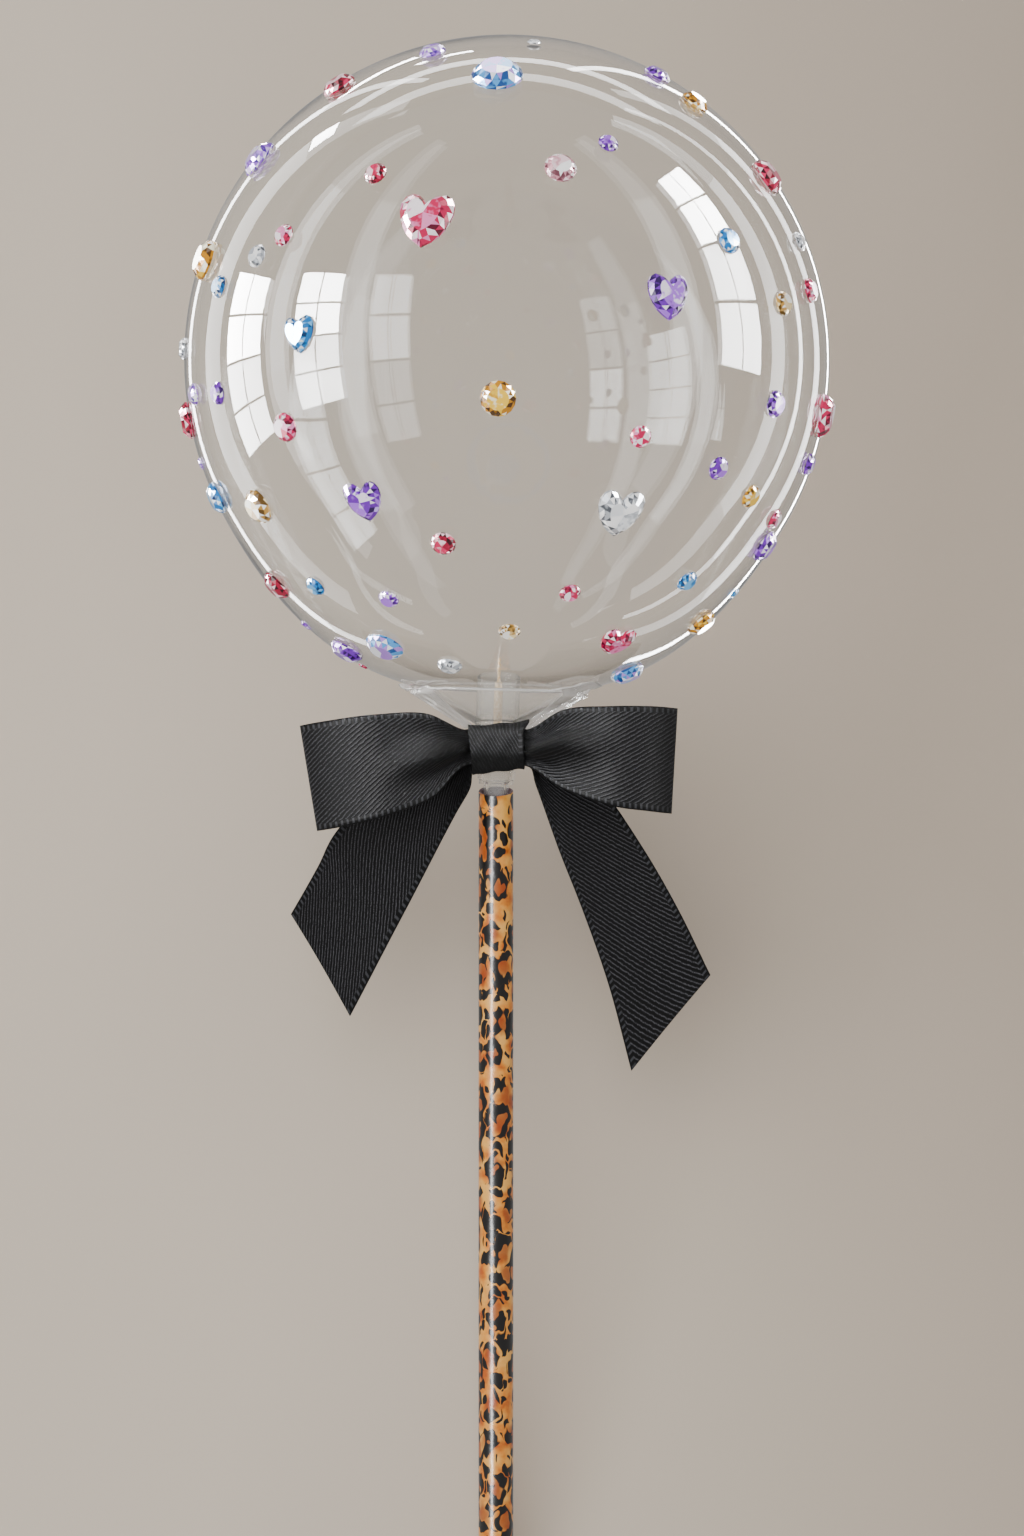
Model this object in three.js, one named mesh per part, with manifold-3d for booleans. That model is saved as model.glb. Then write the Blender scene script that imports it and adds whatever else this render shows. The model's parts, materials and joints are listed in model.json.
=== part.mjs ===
// A clear bubble balloon on a printed straw stick, lying down: a see-through ball with glued-on
// stones sits in a clear cup, and a black ribbon bow is tied round the cup's stem.
//
// Units are millimetres. The stick runs along Y with the ball at the +Y end, and the stones and
// the bow face up. The ball rests on a small flat spot and the stick on its free end.
// Inside the group, before it is laid down, Y is the stick's axis, Z faces the viewer of the
// bow, and the ball's centre is at Y = 0.
import * as THREE from 'three';
import { mergeVertices } from 'three/addons/utils/BufferGeometryUtils.js';
import Module from 'manifold-3d';

const wasm = await Module();
wasm.setup();

// ---- Driving dimensions ----
const BALL_RADIUS = 70;
const BALL_SEGMENTS = 48;
const FLAT_SPOT_DEPTH = 0.8;     // how much of the ball is pressed flat where it rests
const FLARE_START = -30;         // latitude where the film begins to stretch towards the cup
const HEAD_LEAN = 1.5;           // the ball and cup lean this far off the stick, in degrees
const GAP = 0.3;                 // clearance between touching pieces

const CUP_RIM_RADIUS = 18.6;
const CUP_RIM_Y = -71.4;
const CUP_WALL = 0.7;
const CUP_SLOPE = 0.52;          // rise of the cone for each millimetre outwards
const TUBE_RADIUS = 4.7;         // the tube that the film's neck is pulled over
const TUBE_WALL = 0.8;
const TUBE_TOP = -66.7;
const STEM_RADIUS = 3.75;        // the stem between the cup and the stick
const STEM_WALL = 0.85;
const STEM_TOP = -85;            // the web that seals the tube has this height
const WEB = 0.8;
const STEM_RING = { radius: 4.05, top: -86.8, bottom: -88.7 };
const PLUG_RADIUS = 2.7;         // the part of the stem that goes into the stick
const PLUG_LENGTH = 6;

const PIN_TOP = -63.2;
const PIN_RADIUS = 0.33;
const PIN_ROD = { radius: 1, top: -69.5 };

const STICK_RADIUS = 3.8;
const STICK_WALL = 0.8;
const STICK_TOP = -91.8;
const STICK_LENGTH = 200;
const STICK_MOUTH_DROP = 2.2;    // the mouth is cut slanting, lower at the front
const STICK_SEGMENTS = 24;

const RIBBON = 0.7;              // thickness of a ribbon layer
const KNOT = { width: 11.8, top: -78.5, bottom: -88.7, back: 5.85, front: 10.6, round: 1.6 };
const KNOT_CENTRE = (KNOT.top + KNOT.bottom) / 2;
const TIE = { radius: 5.1, wall: 0.45, top: -79.3, bottom: -84.9 };

const STONE_LARGE = 7.4;
const STONE_SMALL = 4.8;
const STONE_HEIGHT = 0.32;       // height of a stone as a share of its width
const STONE_GIRDLE = 0.08;
const STONE_TABLE = 0.56;

// Shape, colour, width, longitude from the front and latitude, in degrees.
const STONES = [
  ['round', 'lilac', 5.7, -28, 59],
  ['round', 'aurora', 10.5, -4, 48],
  ['round', 'crimson', STONE_LARGE, -54, 50],
  ['round', 'purple', 5.7, 50, 56],
  ['round', 'gold', 6.1, 54, 48],
  ['heart', 'lilac', 8.7, -64, 33],
  ['round', 'crimson', STONE_SMALL, -25, 25],
  ['round', 'blush', 6.5, 9, 26],
  ['round', 'purple', 4.2, 19, 32],
  ['round', 'crimson', 8.2, 64, 32],
  ['heart', 'pink', 12, -14, 16],
  ['round', 'pink', STONE_SMALL, -42, 15],
  ['round', 'clear', 4.9, -48, 12],
  ['round', 'gold', 8.7, -69, 14],
  ['round', 'blue', 5.5, 41, 16],
  ['round', 'clear', 4.3, 67, 20],
  ['round', 'blue', STONE_SMALL, -59, 8],
  ['heart', 'purple', 9.8, 27, 5],
  ['round', 'pink', 5.3, 66, 11],
  ['round', 'champagne', 5.2, 54, 7],
  ['heart', 'blue', 7.9, -36, -2],
  ['round', 'clear', 4.7, -80, 0],
  ['round', 'purple', 4.9, -59, -10],
  ['round', 'lilac', 4.7, -71, -9],
  ['round', 'gold', 7.1, -1, -13],
  ['round', 'purple', 5.7, 53, -10],
  ['heart', 'crimson', 8.2, -84, -12],
  ['round', 'pink', 6, -41, -17],
  ['heart', 'pink', 9.8, 77, -9],
  ['round', 'pink', 4.6, 24, -18],
  ['round', 'purple', 4.8, 76, -18],
  ['round', 'purple', 4.9, 42, -22],
  ['heart', 'purple', 9, -27, -30],
  ['round', 'champagne', 7.6, -56, -30],
  ['round', 'blue', 7, -77, -27],
  ['heart', 'clear', 10.6, 23, -31],
  ['round', 'gold', 5.1, 54, -26],
  ['round', 'pink', 4.5, 69, -29],
  ['round', 'purple', 7.2, 73, -34],
  ['round', 'crimson', 5.2, -12, -38],
  ['round', 'crimson', 7, -71, -45],
  ['round', 'blue', 4.6, -51, -46],
  ['round', 'purple', 4.4, -29, -49],
  ['round', 'pink', 4.5, 17, -47],
  ['round', 'blue', STONE_SMALL, 48, -43],
  ['round', 'gold', 6.8, 72, -51],
  ['round', 'champagne', 4.6, 3, -56],
  ['heart', 'pink', 8.4, 38, -57],
  ['round', 'aurora', 8.3, -41, -60],
  ['round', 'purple', STONE_LARGE, -67, -61],
  ['round', 'clear', 5.3, -20, -66],
  ['round', 'aurora', STONE_LARGE, 68, -66],
];

const STONE_COLOURS = {
  pink: 0xd83a78,
  crimson: 0xb3164c,
  blush: 0xe8c4cc,
  lilac: 0xa98be0,
  purple: 0x6f3fb5,
  blue: 0x2e8fd8,
  aurora: 0x6aa6e0,
  gold: 0xe0a818,
  champagne: 0xe6cf95,
  clear: 0xe6e8ec,
};

const rad = THREE.MathUtils.degToRad;

function plastic(color, roughness) {
  return new THREE.MeshStandardMaterial({ color, roughness, metalness: 0 });
}

function clearPlastic() {
  return new THREE.MeshStandardMaterial({
    color: 0xf2f4f5, roughness: 0.05, metalness: 0, transparent: true, opacity: 0.3,
  });
}

// Merges doubled corners and turns the faces outwards, so that a geometry is one closed solid.
function solid(geometry) {
  geometry.deleteAttribute('normal');
  geometry.deleteAttribute('uv');
  const merged = mergeVertices(geometry, 1e-4);
  const position = merged.getAttribute('position');
  const index = merged.getIndex();
  const [a, b, c] = [new THREE.Vector3(), new THREE.Vector3(), new THREE.Vector3()];
  const kept = [];
  let volume = 0;
  for (let i = 0; i < index.count; i += 3) {
    const corner = [index.getX(i), index.getX(i + 1), index.getX(i + 2)];
    if (new Set(corner).size < 3) continue;
    a.fromBufferAttribute(position, corner[0]);
    b.fromBufferAttribute(position, corner[1]);
    c.fromBufferAttribute(position, corner[2]);
    volume += a.dot(b.cross(c)) / 6;
    kept.push(corner);
  }
  merged.setIndex(kept.flatMap((corner) => (volume < 0 ? corner.reverse() : corner)));
  merged.computeVertexNormals();
  return merged;
}

function named(name, geometry, material) {
  const mesh = new THREE.Mesh(solid(geometry), material);
  mesh.name = name;
  return mesh;
}

function lathe(profile, segments, phiStart = 0) {
  const points = profile.map(([radius, y]) => new THREE.Vector2(radius, y));
  return new THREE.LatheGeometry(points, segments, phiStart);
}

// ---- The cup ----
// Height of the cone's outer surface at a radius.
function coneY(radius) {
  return CUP_RIM_Y - (CUP_RIM_RADIUS - radius) * CUP_SLOPE;
}

const CONE_THICKNESS = CUP_WALL * Math.hypot(1, CUP_SLOPE);

function makeCup() {
  const lip = CUP_RIM_RADIUS - 0.4;
  const tubeInside = TUBE_RADIUS - TUBE_WALL;
  const stemInside = STEM_RADIUS - STEM_WALL;
  const plugInside = PLUG_RADIUS - STEM_WALL;
  const ring = STEM_RING;
  const shoulder = STICK_TOP + GAP;
  const profile = [
    [0, STEM_TOP], [tubeInside, STEM_TOP],
    [tubeInside, TUBE_TOP], [TUBE_RADIUS, TUBE_TOP],
    [TUBE_RADIUS, coneY(TUBE_RADIUS) + CONE_THICKNESS],
    [lip, coneY(lip) + CONE_THICKNESS],
    [CUP_RIM_RADIUS, CUP_RIM_Y],
    [TUBE_RADIUS, coneY(TUBE_RADIUS)],
    [TUBE_RADIUS, STEM_TOP - WEB], [STEM_RADIUS, STEM_TOP - WEB - 0.6],
    [STEM_RADIUS, ring.top], [ring.radius, ring.top - 0.2],
    [ring.radius, ring.bottom + 0.2], [STEM_RADIUS, ring.bottom],
    [STEM_RADIUS, shoulder], [PLUG_RADIUS, shoulder],
    [PLUG_RADIUS, shoulder - PLUG_LENGTH], [plugInside, shoulder - PLUG_LENGTH],
    [plugInside, shoulder + 1], [stemInside, shoulder + 2],
    [stemInside, STEM_TOP - WEB], [0, STEM_TOP - WEB],
  ];
  return named('cup', lathe(profile, 32), clearPlastic());
}

function makePin() {
  const rod = PIN_ROD;
  const profile = [
    [0, STEM_TOP + GAP], [rod.radius, STEM_TOP + GAP], [rod.radius, rod.top],
    [PIN_RADIUS, rod.top + 1], [PIN_RADIUS, PIN_TOP], [0, PIN_TOP],
  ];
  return named('pin', lathe(profile, 10), plastic(0xd8c6a4, 0.4));
}

// ---- The ball ----
// The film touches the cone just inside the cup's rim.
const FILM_RIM = {
  radius: CUP_RIM_RADIUS - 1.1,
  y: coneY(CUP_RIM_RADIUS - 1.1) + CONE_THICKNESS + GAP * Math.hypot(1, CUP_SLOPE),
};
const FILM_RIM_LATITUDE = THREE.MathUtils.radToDeg(Math.atan2(FILM_RIM.y, FILM_RIM.radius));
const FLARE = Math.hypot(FILM_RIM.radius, FILM_RIM.y) / BALL_RADIUS - 1;

// Distance of the film from the ball's centre: a true ball, stretched to a drop near the cup.
function filmRadius(latitude) {
  const share = THREE.MathUtils.smoothstep(FLARE_START - latitude, 0, 40);
  return BALL_RADIUS * (1 + FLARE * share);
}

function filmPoint(latitude) {
  const radius = filmRadius(latitude);
  return [radius * Math.cos(rad(latitude)), radius * Math.sin(rad(latitude))];
}

function makeBalloon() {
  const rings = 25;
  const profile = [[0, BALL_RADIUS]];
  for (let i = 1; i <= rings; i += 1) {
    profile.push(filmPoint(THREE.MathUtils.lerp(90, FILM_RIM_LATITUDE, i / rings)));
  }
  const neck = TUBE_RADIUS + GAP;
  const socketTop = PIN_TOP + 2 * GAP;
  const neckY = FILM_RIM.y - (FILM_RIM.radius - neck) * CUP_SLOPE;
  profile.push([neck, neckY], [neck, socketTop], [0, socketTop]);
  return named('balloon', lathe(profile, BALL_SEGMENTS), clearPlastic());
}

function toManifold(geometry) {
  return new wasm.Manifold(new wasm.Mesh({
    numProp: 3,
    vertProperties: new Float32Array(geometry.getAttribute('position').array),
    triVerts: new Uint32Array(geometry.getIndex().array),
  }));
}

function toGeometry(manifold) {
  const { vertProperties, triVerts } = manifold.getMesh();
  const geometry = new THREE.BufferGeometry();
  geometry.setAttribute('position', new THREE.BufferAttribute(vertProperties, 3));
  geometry.setIndex(new THREE.BufferAttribute(triVerts, 1));
  return geometry;
}

// Cuts off what reaches below the floor, once the balloon lies in its final place.
function pressFlat(mesh) {
  const side = 4 * BALL_RADIUS;
  const below = new THREE.BoxGeometry(side, side, side).translate(0, 0, -side / 2);
  below.applyMatrix4(mesh.matrixWorld.clone().invert());
  mesh.geometry = toGeometry(toManifold(mesh.geometry).subtract(toManifold(solid(below))));
}

// ---- The stones ----
function roundOutline() {
  const sides = 10;
  return Array.from({ length: sides }, (_, i) => {
    const turn = ((i + 0.5) / sides) * 2 * Math.PI;
    return [Math.sin(turn) / 2, Math.cos(turn) / 2];
  });
}

// A heart of width 1 from the well-known sine and cosine curve, its middle at the origin.
function heartOutline() {
  const sides = 14;
  return Array.from({ length: sides }, (_, i) => {
    const t = (i / sides) * 2 * Math.PI;
    const x = 16 * Math.sin(t) ** 3;
    const y = 13 * Math.cos(t) - 5 * Math.cos(2 * t) - 2 * Math.cos(3 * t) - Math.cos(4 * t);
    return [x / 32, (y + 2.5) / 32];
  });
}

const STONE_OUTLINES = { round: roundOutline(), heart: heartOutline() };

// A flat-backed cut stone: upright girdle, one row of crown facets and a flat table.
function stoneGeometry(shape, width) {
  const outline = STONE_OUTLINES[shape];
  const rings = [[1, 0], [1, STONE_GIRDLE], [STONE_TABLE, STONE_HEIGHT]];
  const points = rings.flatMap(([scale, z]) => (
    outline.flatMap(([x, y]) => [x * scale * width, y * scale * width, z * width])));
  const count = outline.length;
  const bottom = count * rings.length;
  points.push(0, 0, 0, 0, 0, STONE_HEIGHT * width);
  const index = [];
  for (let i = 0; i < count; i += 1) {
    const next = (i + 1) % count;
    index.push(bottom, i, next);
    for (let ring = 0; ring + 1 < rings.length; ring += 1) {
      const [low, high] = [ring * count, (ring + 1) * count];
      index.push(low + i, high + i, low + next, low + next, high + i, high + next);
    }
    const top = (rings.length - 1) * count;
    index.push(bottom + 1, top + next, top + i);
  }
  const geometry = new THREE.BufferGeometry();
  geometry.setAttribute('position', new THREE.Float32BufferAttribute(points, 3));
  geometry.setIndex(index);
  return geometry;
}

function makeStone([shape, colour, width, longitude, latitude], number) {
  const label = String(number + 1).padStart(2, '0');
  const material = plastic(STONE_COLOURS[colour], 0.1);
  const stone = named(`gem_${label}_${colour}_${shape}`, stoneGeometry(shape, width), material);
  const outwards = new THREE.Vector3(
    Math.cos(rad(latitude)) * Math.sin(rad(longitude)),
    Math.sin(rad(latitude)),
    Math.cos(rad(latitude)) * Math.cos(rad(longitude)),
  );
  stone.position.copy(outwards).multiplyScalar(filmRadius(latitude) + GAP);
  stone.lookAt(stone.position.clone().add(outwards));
  return stone;
}

// ---- The stick ----
function makeStick() {
  const inside = STICK_RADIUS - STICK_WALL;
  const end = STICK_TOP - STICK_LENGTH;
  const profile = [
    [inside, end], [STICK_RADIUS, end], [STICK_RADIUS, STICK_TOP], [inside, STICK_TOP],
    [inside, end],
  ];
  const tube = lathe(profile, STICK_SEGMENTS, Math.PI / STICK_SEGMENTS);
  const position = tube.getAttribute('position');
  for (let i = 0; i < position.count; i += 1) {
    if (position.getY(i) > STICK_TOP - 1) {
      const front = (1 + position.getZ(i) / STICK_RADIUS) / 2;
      position.setY(i, STICK_TOP - STICK_MOUTH_DROP * front);
    }
  }
  return named('stick', tube, plastic(0xc98238, 0.2));
}

// ---- The bow ----
// A flat ribbon between two edge curves, which have the same number of points.
function ribbonGeometry(edgeA, edgeB, { steps, closed = false }) {
  const toCurve = (edge) => new THREE.CatmullRomCurve3(
    edge.map((point) => new THREE.Vector3(...point)), closed, 'catmullrom', 0.5);
  const [curveA, curveB] = [toCurve(edgeA), toCurve(edgeB)];
  const points = [];
  const stations = closed ? steps : steps + 1;
  for (let i = 0; i < stations; i += 1) {
    const a = curveA.getPoint(i / steps);
    const b = curveB.getPoint(i / steps);
    const along = curveA.getTangent(i / steps).add(curveB.getTangent(i / steps));
    const offset = b.clone().sub(a).cross(along).setLength(RIBBON / 2);
    for (const [edge, side] of [[a, 1], [b, 1], [b, -1], [a, -1]]) {
      points.push(...edge.clone().addScaledVector(offset, side).toArray());
    }
  }
  const index = [];
  const quad = (p, q, r, s) => index.push(p, q, r, p, r, s);
  for (let i = 0; i < steps; i += 1) {
    const [low, high] = [4 * i, 4 * ((i + 1) % stations)];
    for (let corner = 0; corner < 4; corner += 1) {
      const next = (corner + 1) % 4;
      quad(low + corner, low + next, high + next, high + corner);
    }
  }
  if (!closed) {
    quad(3, 2, 1, 0);
    quad(4 * steps, 4 * steps + 1, 4 * steps + 2, 4 * steps + 3);
  }
  const geometry = new THREE.BufferGeometry();
  geometry.setAttribute('position', new THREE.Float32BufferAttribute(points, 3));
  geometry.setIndex(index);
  return geometry;
}

// Depth of each ribbon layer where it passes through the knot, and half its gathered height.
const LAYER = { tails: 7.2, back: 8.2, front: 9.22 };
const GATHERED = { front: LAYER.front, back: LAYER.back };
const GATHER = 3.9;
const GATHER_TOP = KNOT_CENTRE + GATHER;
const GATHER_BOTTOM = KNOT_CENTRE - GATHER;
const KNOT_SIDE = KNOT.width / 2 + 1;    // the layers run straight as far as this

// Stations of a loop from the knot to its outer fold: the upper edge, the lower edge, and the
// depths of the front and the back layer.
const LOOP_LEFT = [
  { upper: [-KNOT_SIDE, GATHER_TOP], lower: [-KNOT_SIDE, GATHER_BOTTOM], ...GATHERED },
  { upper: [-15, -76.4], lower: [-13.5, -94], front: 12.5, back: 6.7 },
  { upper: [-26, -76.7], lower: [-23, -97.7], front: 15.2, back: 5.2 },
  { upper: [-36, -77.8], lower: [-32, -100.2], front: 14, back: 4.8 },
];
const FOLD_LEFT = { upper: [-41.5, -78.7], lower: [-37.8, -101.2], depth: 9.4 };
const LOOP_RIGHT = [
  { upper: [KNOT_SIDE, GATHER_TOP], lower: [KNOT_SIDE, GATHER_BOTTOM], ...GATHERED },
  { upper: [14.6, -75.8], lower: [14, -91.8], front: 12.5, back: 6.7 },
  { upper: [24.5, -75], lower: [24.5, -95.7], front: 15.2, back: 5.2 },
  { upper: [33.5, -75], lower: [32.5, -96.9], front: 14, back: 4.8 },
];
const FOLD_RIGHT = { upper: [38.6, -75.6], lower: [37.4, -97.4], depth: 9.4 };

function loopEdge(edge) {
  const middle = { upper: GATHER_TOP, lower: GATHER_BOTTOM }[edge];
  const layer = (loop, side) => loop.map((station) => [...station[edge], station[side]]);
  const fold = (turn) => [...turn[edge], turn.depth];
  return [
    [0, middle, LAYER.front],
    ...layer(LOOP_RIGHT, 'front'), fold(FOLD_RIGHT), ...layer(LOOP_RIGHT, 'back').reverse(),
    [0, middle, LAYER.back],
    ...layer(LOOP_LEFT, 'back'), fold(FOLD_LEFT), ...layer(LOOP_LEFT, 'front').reverse(),
  ];
}

function makeLoops() {
  const geometry = ribbonGeometry(loopEdge('upper'), loopEdge('lower'), { steps: 80, closed: true });
  return named('bow_loops', geometry, plastic(0x18181a, 0.7));
}

// The tails are one length that passes through the knot behind the loops. Both ends are cut
// slanting, so that each tail is longest at its inner edge.
const TAILS_OUTER = [
  [-44.6, -119.8, 0], [-38.8, -109.5, 1.2], [-33.6, -100.5, 2.2], [-20, -86.5, 3.8],
  [-11.5, -81.4, 5.6], [-KNOT_SIDE, GATHER_TOP, LAYER.tails], [0, GATHER_TOP, LAYER.tails],
  [KNOT_SIDE, GATHER_TOP, LAYER.tails], [12, -82, 5.4], [22, -91, 3.6],
  [31.8, -105, 2.2], [40, -119.3, 1.4], [46.6, -133, 1],
];
const TAILS_INNER = [
  [-31.8, -141.8, 0], [-24.9, -128.8, 1.2], [-18, -115.7, 2.2], [-9.3, -99, 3.8],
  [-7.4, -92.5, 5.6], [-KNOT_SIDE, GATHER_BOTTOM, LAYER.tails], [0, GATHER_BOTTOM, LAYER.tails],
  [KNOT_SIDE, GATHER_BOTTOM, LAYER.tails], [8.6, -92, 5.4], [13.5, -105.5, 3.6],
  [19.3, -120, 2.2], [24.8, -136, 1.4], [29.4, -153.6, 1],
];

function makeTails() {
  return named('bow_tails', ribbonGeometry(TAILS_OUTER, TAILS_INNER, { steps: 48 }),
    plastic(0x18181a, 0.7));
}

// A rounded rectangle in the knot's section plane, whose X is depth and whose Y is height.
function knotOutline(inset, target) {
  const [left, right] = [KNOT.back + inset, KNOT.front - inset];
  const [low, high] = [KNOT.bottom + inset, KNOT.top - inset];
  const round = KNOT.round - inset;
  target.moveTo(left + round, low);
  target.lineTo(right - round, low);
  target.absarc(right - round, low + round, round, -Math.PI / 2, 0);
  target.lineTo(right, high - round);
  target.absarc(right - round, high - round, round, 0, Math.PI / 2);
  target.lineTo(left + round, high);
  target.absarc(left + round, high - round, round, Math.PI / 2, Math.PI);
  target.lineTo(left, low + round);
  target.absarc(left + round, low + round, round, Math.PI, 1.5 * Math.PI);
  return target;
}

function makeKnot() {
  const shape = knotOutline(0, new THREE.Shape());
  shape.holes.push(knotOutline(RIBBON, new THREE.Path()));
  const band = new THREE.ExtrudeGeometry(shape, {
    depth: KNOT.width, bevelEnabled: false, curveSegments: 4,
  });
  band.translate(0, 0, -KNOT.width / 2).rotateY(-Math.PI / 2);
  return named('bow_knot', band, plastic(0x18181a, 0.7));
}

// The ribbon's turn round the stem, which holds the bow.
function makeTie() {
  const outside = TIE.radius + TIE.wall;
  const profile = [
    [TIE.radius, TIE.bottom], [outside, TIE.bottom], [outside, TIE.top], [TIE.radius, TIE.top],
    [TIE.radius, TIE.bottom],
  ];
  return named('bow_tie', lathe(profile, 24), plastic(0x18181a, 0.7));
}

// ---- Assembly ----
const balloon = makeBalloon();
const head = new THREE.Group();
head.add(balloon, makeCup(), makePin(), ...STONES.map(makeStone));

// The head leans about the top of the stick.
const leaning = new THREE.Group();
head.position.y = -STICK_TOP;
leaning.position.y = STICK_TOP;
leaning.rotation.z = -rad(HEAD_LEAN);
leaning.add(head);

const group = new THREE.Group();
group.add(leaning, makeStick(), makeLoops(), makeTails(), makeKnot(), makeTie());

// Laid down: the ball's centre stands a little less than its radius above the floor, and the
// rim of the stick's free end touches the floor.
const ballY = STICK_TOP * (1 - Math.cos(rad(HEAD_LEAN)));
const ballHeight = BALL_RADIUS - FLAT_SPOT_DEPTH;
const reach = ballY - (STICK_TOP - STICK_LENGTH);
const endDrop = STICK_RADIUS * Math.cos(Math.PI / STICK_SEGMENTS);
const tilt = Math.asin(ballHeight / Math.hypot(reach, endDrop)) - Math.atan2(endDrop, reach);
group.rotation.x = tilt;
group.position.z = ballHeight - ballY * Math.sin(tilt);
group.updateMatrixWorld(true);
pressFlat(balloon);

// The origin is under the middle of the whole part.
const middle = new THREE.Box3().setFromObject(group, true).getCenter(new THREE.Vector3());
group.position.x = -middle.x;
group.position.y = -middle.y;
group.updateMatrixWorld(true);

export default group;
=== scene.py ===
"""A clear bubble balloon on a leopard-print straw, lying face up, with its bow and cut stones.

The CAD frame gives every place and size. Each operator makes one piece, or one group of like
pieces, and main() calls them in order. Pieces are modelled standing, with Z along the stick, X
across and the front towards -Y, and are then laid down on the frame.
"""
import json
import math
import random

import bmesh
import bpy
from mathutils import Matrix, Vector, noise

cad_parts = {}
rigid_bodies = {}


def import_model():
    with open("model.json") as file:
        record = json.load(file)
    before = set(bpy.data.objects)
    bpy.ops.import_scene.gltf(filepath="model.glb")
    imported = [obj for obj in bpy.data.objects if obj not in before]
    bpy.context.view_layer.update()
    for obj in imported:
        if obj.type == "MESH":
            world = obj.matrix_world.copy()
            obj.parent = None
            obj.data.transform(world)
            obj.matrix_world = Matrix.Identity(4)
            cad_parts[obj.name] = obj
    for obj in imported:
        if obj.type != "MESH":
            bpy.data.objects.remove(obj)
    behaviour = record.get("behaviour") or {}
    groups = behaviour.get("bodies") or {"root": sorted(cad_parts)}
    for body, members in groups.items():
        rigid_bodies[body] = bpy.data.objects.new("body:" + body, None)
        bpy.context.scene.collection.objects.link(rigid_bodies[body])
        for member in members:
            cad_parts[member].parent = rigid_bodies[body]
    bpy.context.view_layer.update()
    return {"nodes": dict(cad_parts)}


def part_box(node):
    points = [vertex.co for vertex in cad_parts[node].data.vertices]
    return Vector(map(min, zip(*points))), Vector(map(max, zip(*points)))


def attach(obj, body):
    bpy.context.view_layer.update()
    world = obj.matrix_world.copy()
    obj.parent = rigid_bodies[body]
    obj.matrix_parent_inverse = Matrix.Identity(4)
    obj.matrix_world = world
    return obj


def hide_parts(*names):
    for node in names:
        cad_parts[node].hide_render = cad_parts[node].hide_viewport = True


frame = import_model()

bl_info = {
    "name": "Bubble balloon",
    "version": (1, 0, 0),
    "blender": (4, 5, 0),
    "location": "3D View > Sidebar > Bubble",
    "description": "Makes a clear bubble balloon with cut stones, a ribbon bow and a straw stick",
    "category": "Object",
}

MM = 0.001


# ---- The frame's own directions ----

def end_rings(node):
    """The middles of the two end rings of a straight tube, the one with the lower Y first."""
    corners = {tuple(round(c, 6) for c in v.co) for v in frame["nodes"][node].data.vertices}
    low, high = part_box(node)
    half = (low.y + high.y) / 2
    rings = [[Vector(c) for c in corners if (c[1] < half) == first] for first in (True, False)]
    return [sum(ring, Vector()) / len(ring) for ring in rings]


def ball_size():
    """The ball's centre and radius. Its sides and its crown are truly round."""
    low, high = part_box("balloon")
    radius = (high.x - low.x) / 2
    return Vector(((low.x + high.x) / 2, high.y - radius, high.z - radius)), radius


CENTRE, RADIUS = ball_size()
STICK_END, MOUTH = end_rings("stick")
ACROSS = Vector((1, 0, 0))
ALONG = (MOUTH - STICK_END).normalized()
FACING = ACROSS.cross(ALONG)
ORIGIN = STICK_END + ALONG * (CENTRE - STICK_END).dot(ALONG)
HEAD_ALONG = (CENTRE - MOUTH).normalized()
HEAD_ACROSS = HEAD_ALONG.cross(FACING)


def standing_matrix(across, along, origin):
    """From a piece that stands, with its front towards -Y, to its place in the frame."""
    matrix = Matrix((across, -FACING, along)).transposed().to_4x4()
    matrix.translation = origin
    return matrix


STICK_MATRIX = standing_matrix(ACROSS, ALONG, ORIGIN)
HEAD_MATRIX = standing_matrix(HEAD_ACROSS, HEAD_ALONG, CENTRE)


def local_z(point):
    """Height of a point of the frame along the stick, from the ball's centre."""
    return (STICK_MATRIX.inverted() @ point).z


# ---- Small helpers ----

def linear(code):
    """An sRGB hex colour as linear RGBA."""
    parts = [int(code[i:i + 2], 16) / 255 for i in (1, 3, 5)]
    return (*(c / 12.92 if c <= 0.04045 else ((c + 0.055) / 1.055) ** 2.4 for c in parts), 1)


def smooth(low, high, value):
    """Rises softly from 0, where the value is at low, to 1, where it is at high."""
    share = min(max((value - low) / (high - low), 0), 1)
    return share * share * (3 - 2 * share)


def deselect():
    """Leaves edit mode, with nothing selected."""
    if bpy.context.object and bpy.context.object.mode != "OBJECT":
        bpy.ops.object.mode_set(mode="OBJECT")
    bpy.ops.object.select_all(action="DESELECT")


def start(kind, name, **settings):
    """Adds a primitive and returns its object, alone selected."""
    deselect()
    getattr(bpy.ops.mesh, f"primitive_{kind}_add")(**settings)
    obj = bpy.context.object
    obj.name = obj.data.name = name
    return obj


def activate(obj):
    """Selects one object alone and makes it the active one."""
    deselect()
    obj.select_set(True)
    bpy.context.view_layer.objects.active = obj


def edit(obj, kind, chosen):
    """Opens a piece in edit mode with only the chosen vertices or faces selected."""
    activate(obj)
    bpy.ops.object.mode_set(mode="EDIT")
    bpy.ops.mesh.select_mode(type=kind)
    bpy.ops.mesh.select_all(action="DESELECT")
    bpy.ops.object.mode_set(mode="OBJECT")
    for part in (obj.data.vertices if kind == "VERT" else obj.data.polygons):
        part.select = chosen(part)
    bpy.ops.object.mode_set(mode="EDIT")


def modify(obj, kind, **settings):
    """Adds a modifier and applies it."""
    activate(obj)
    modifier = obj.modifiers.new(kind.title(), kind)
    for key, value in settings.items():
        setattr(modifier, key, value)
    bpy.ops.object.modifier_apply(modifier=modifier.name)


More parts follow.
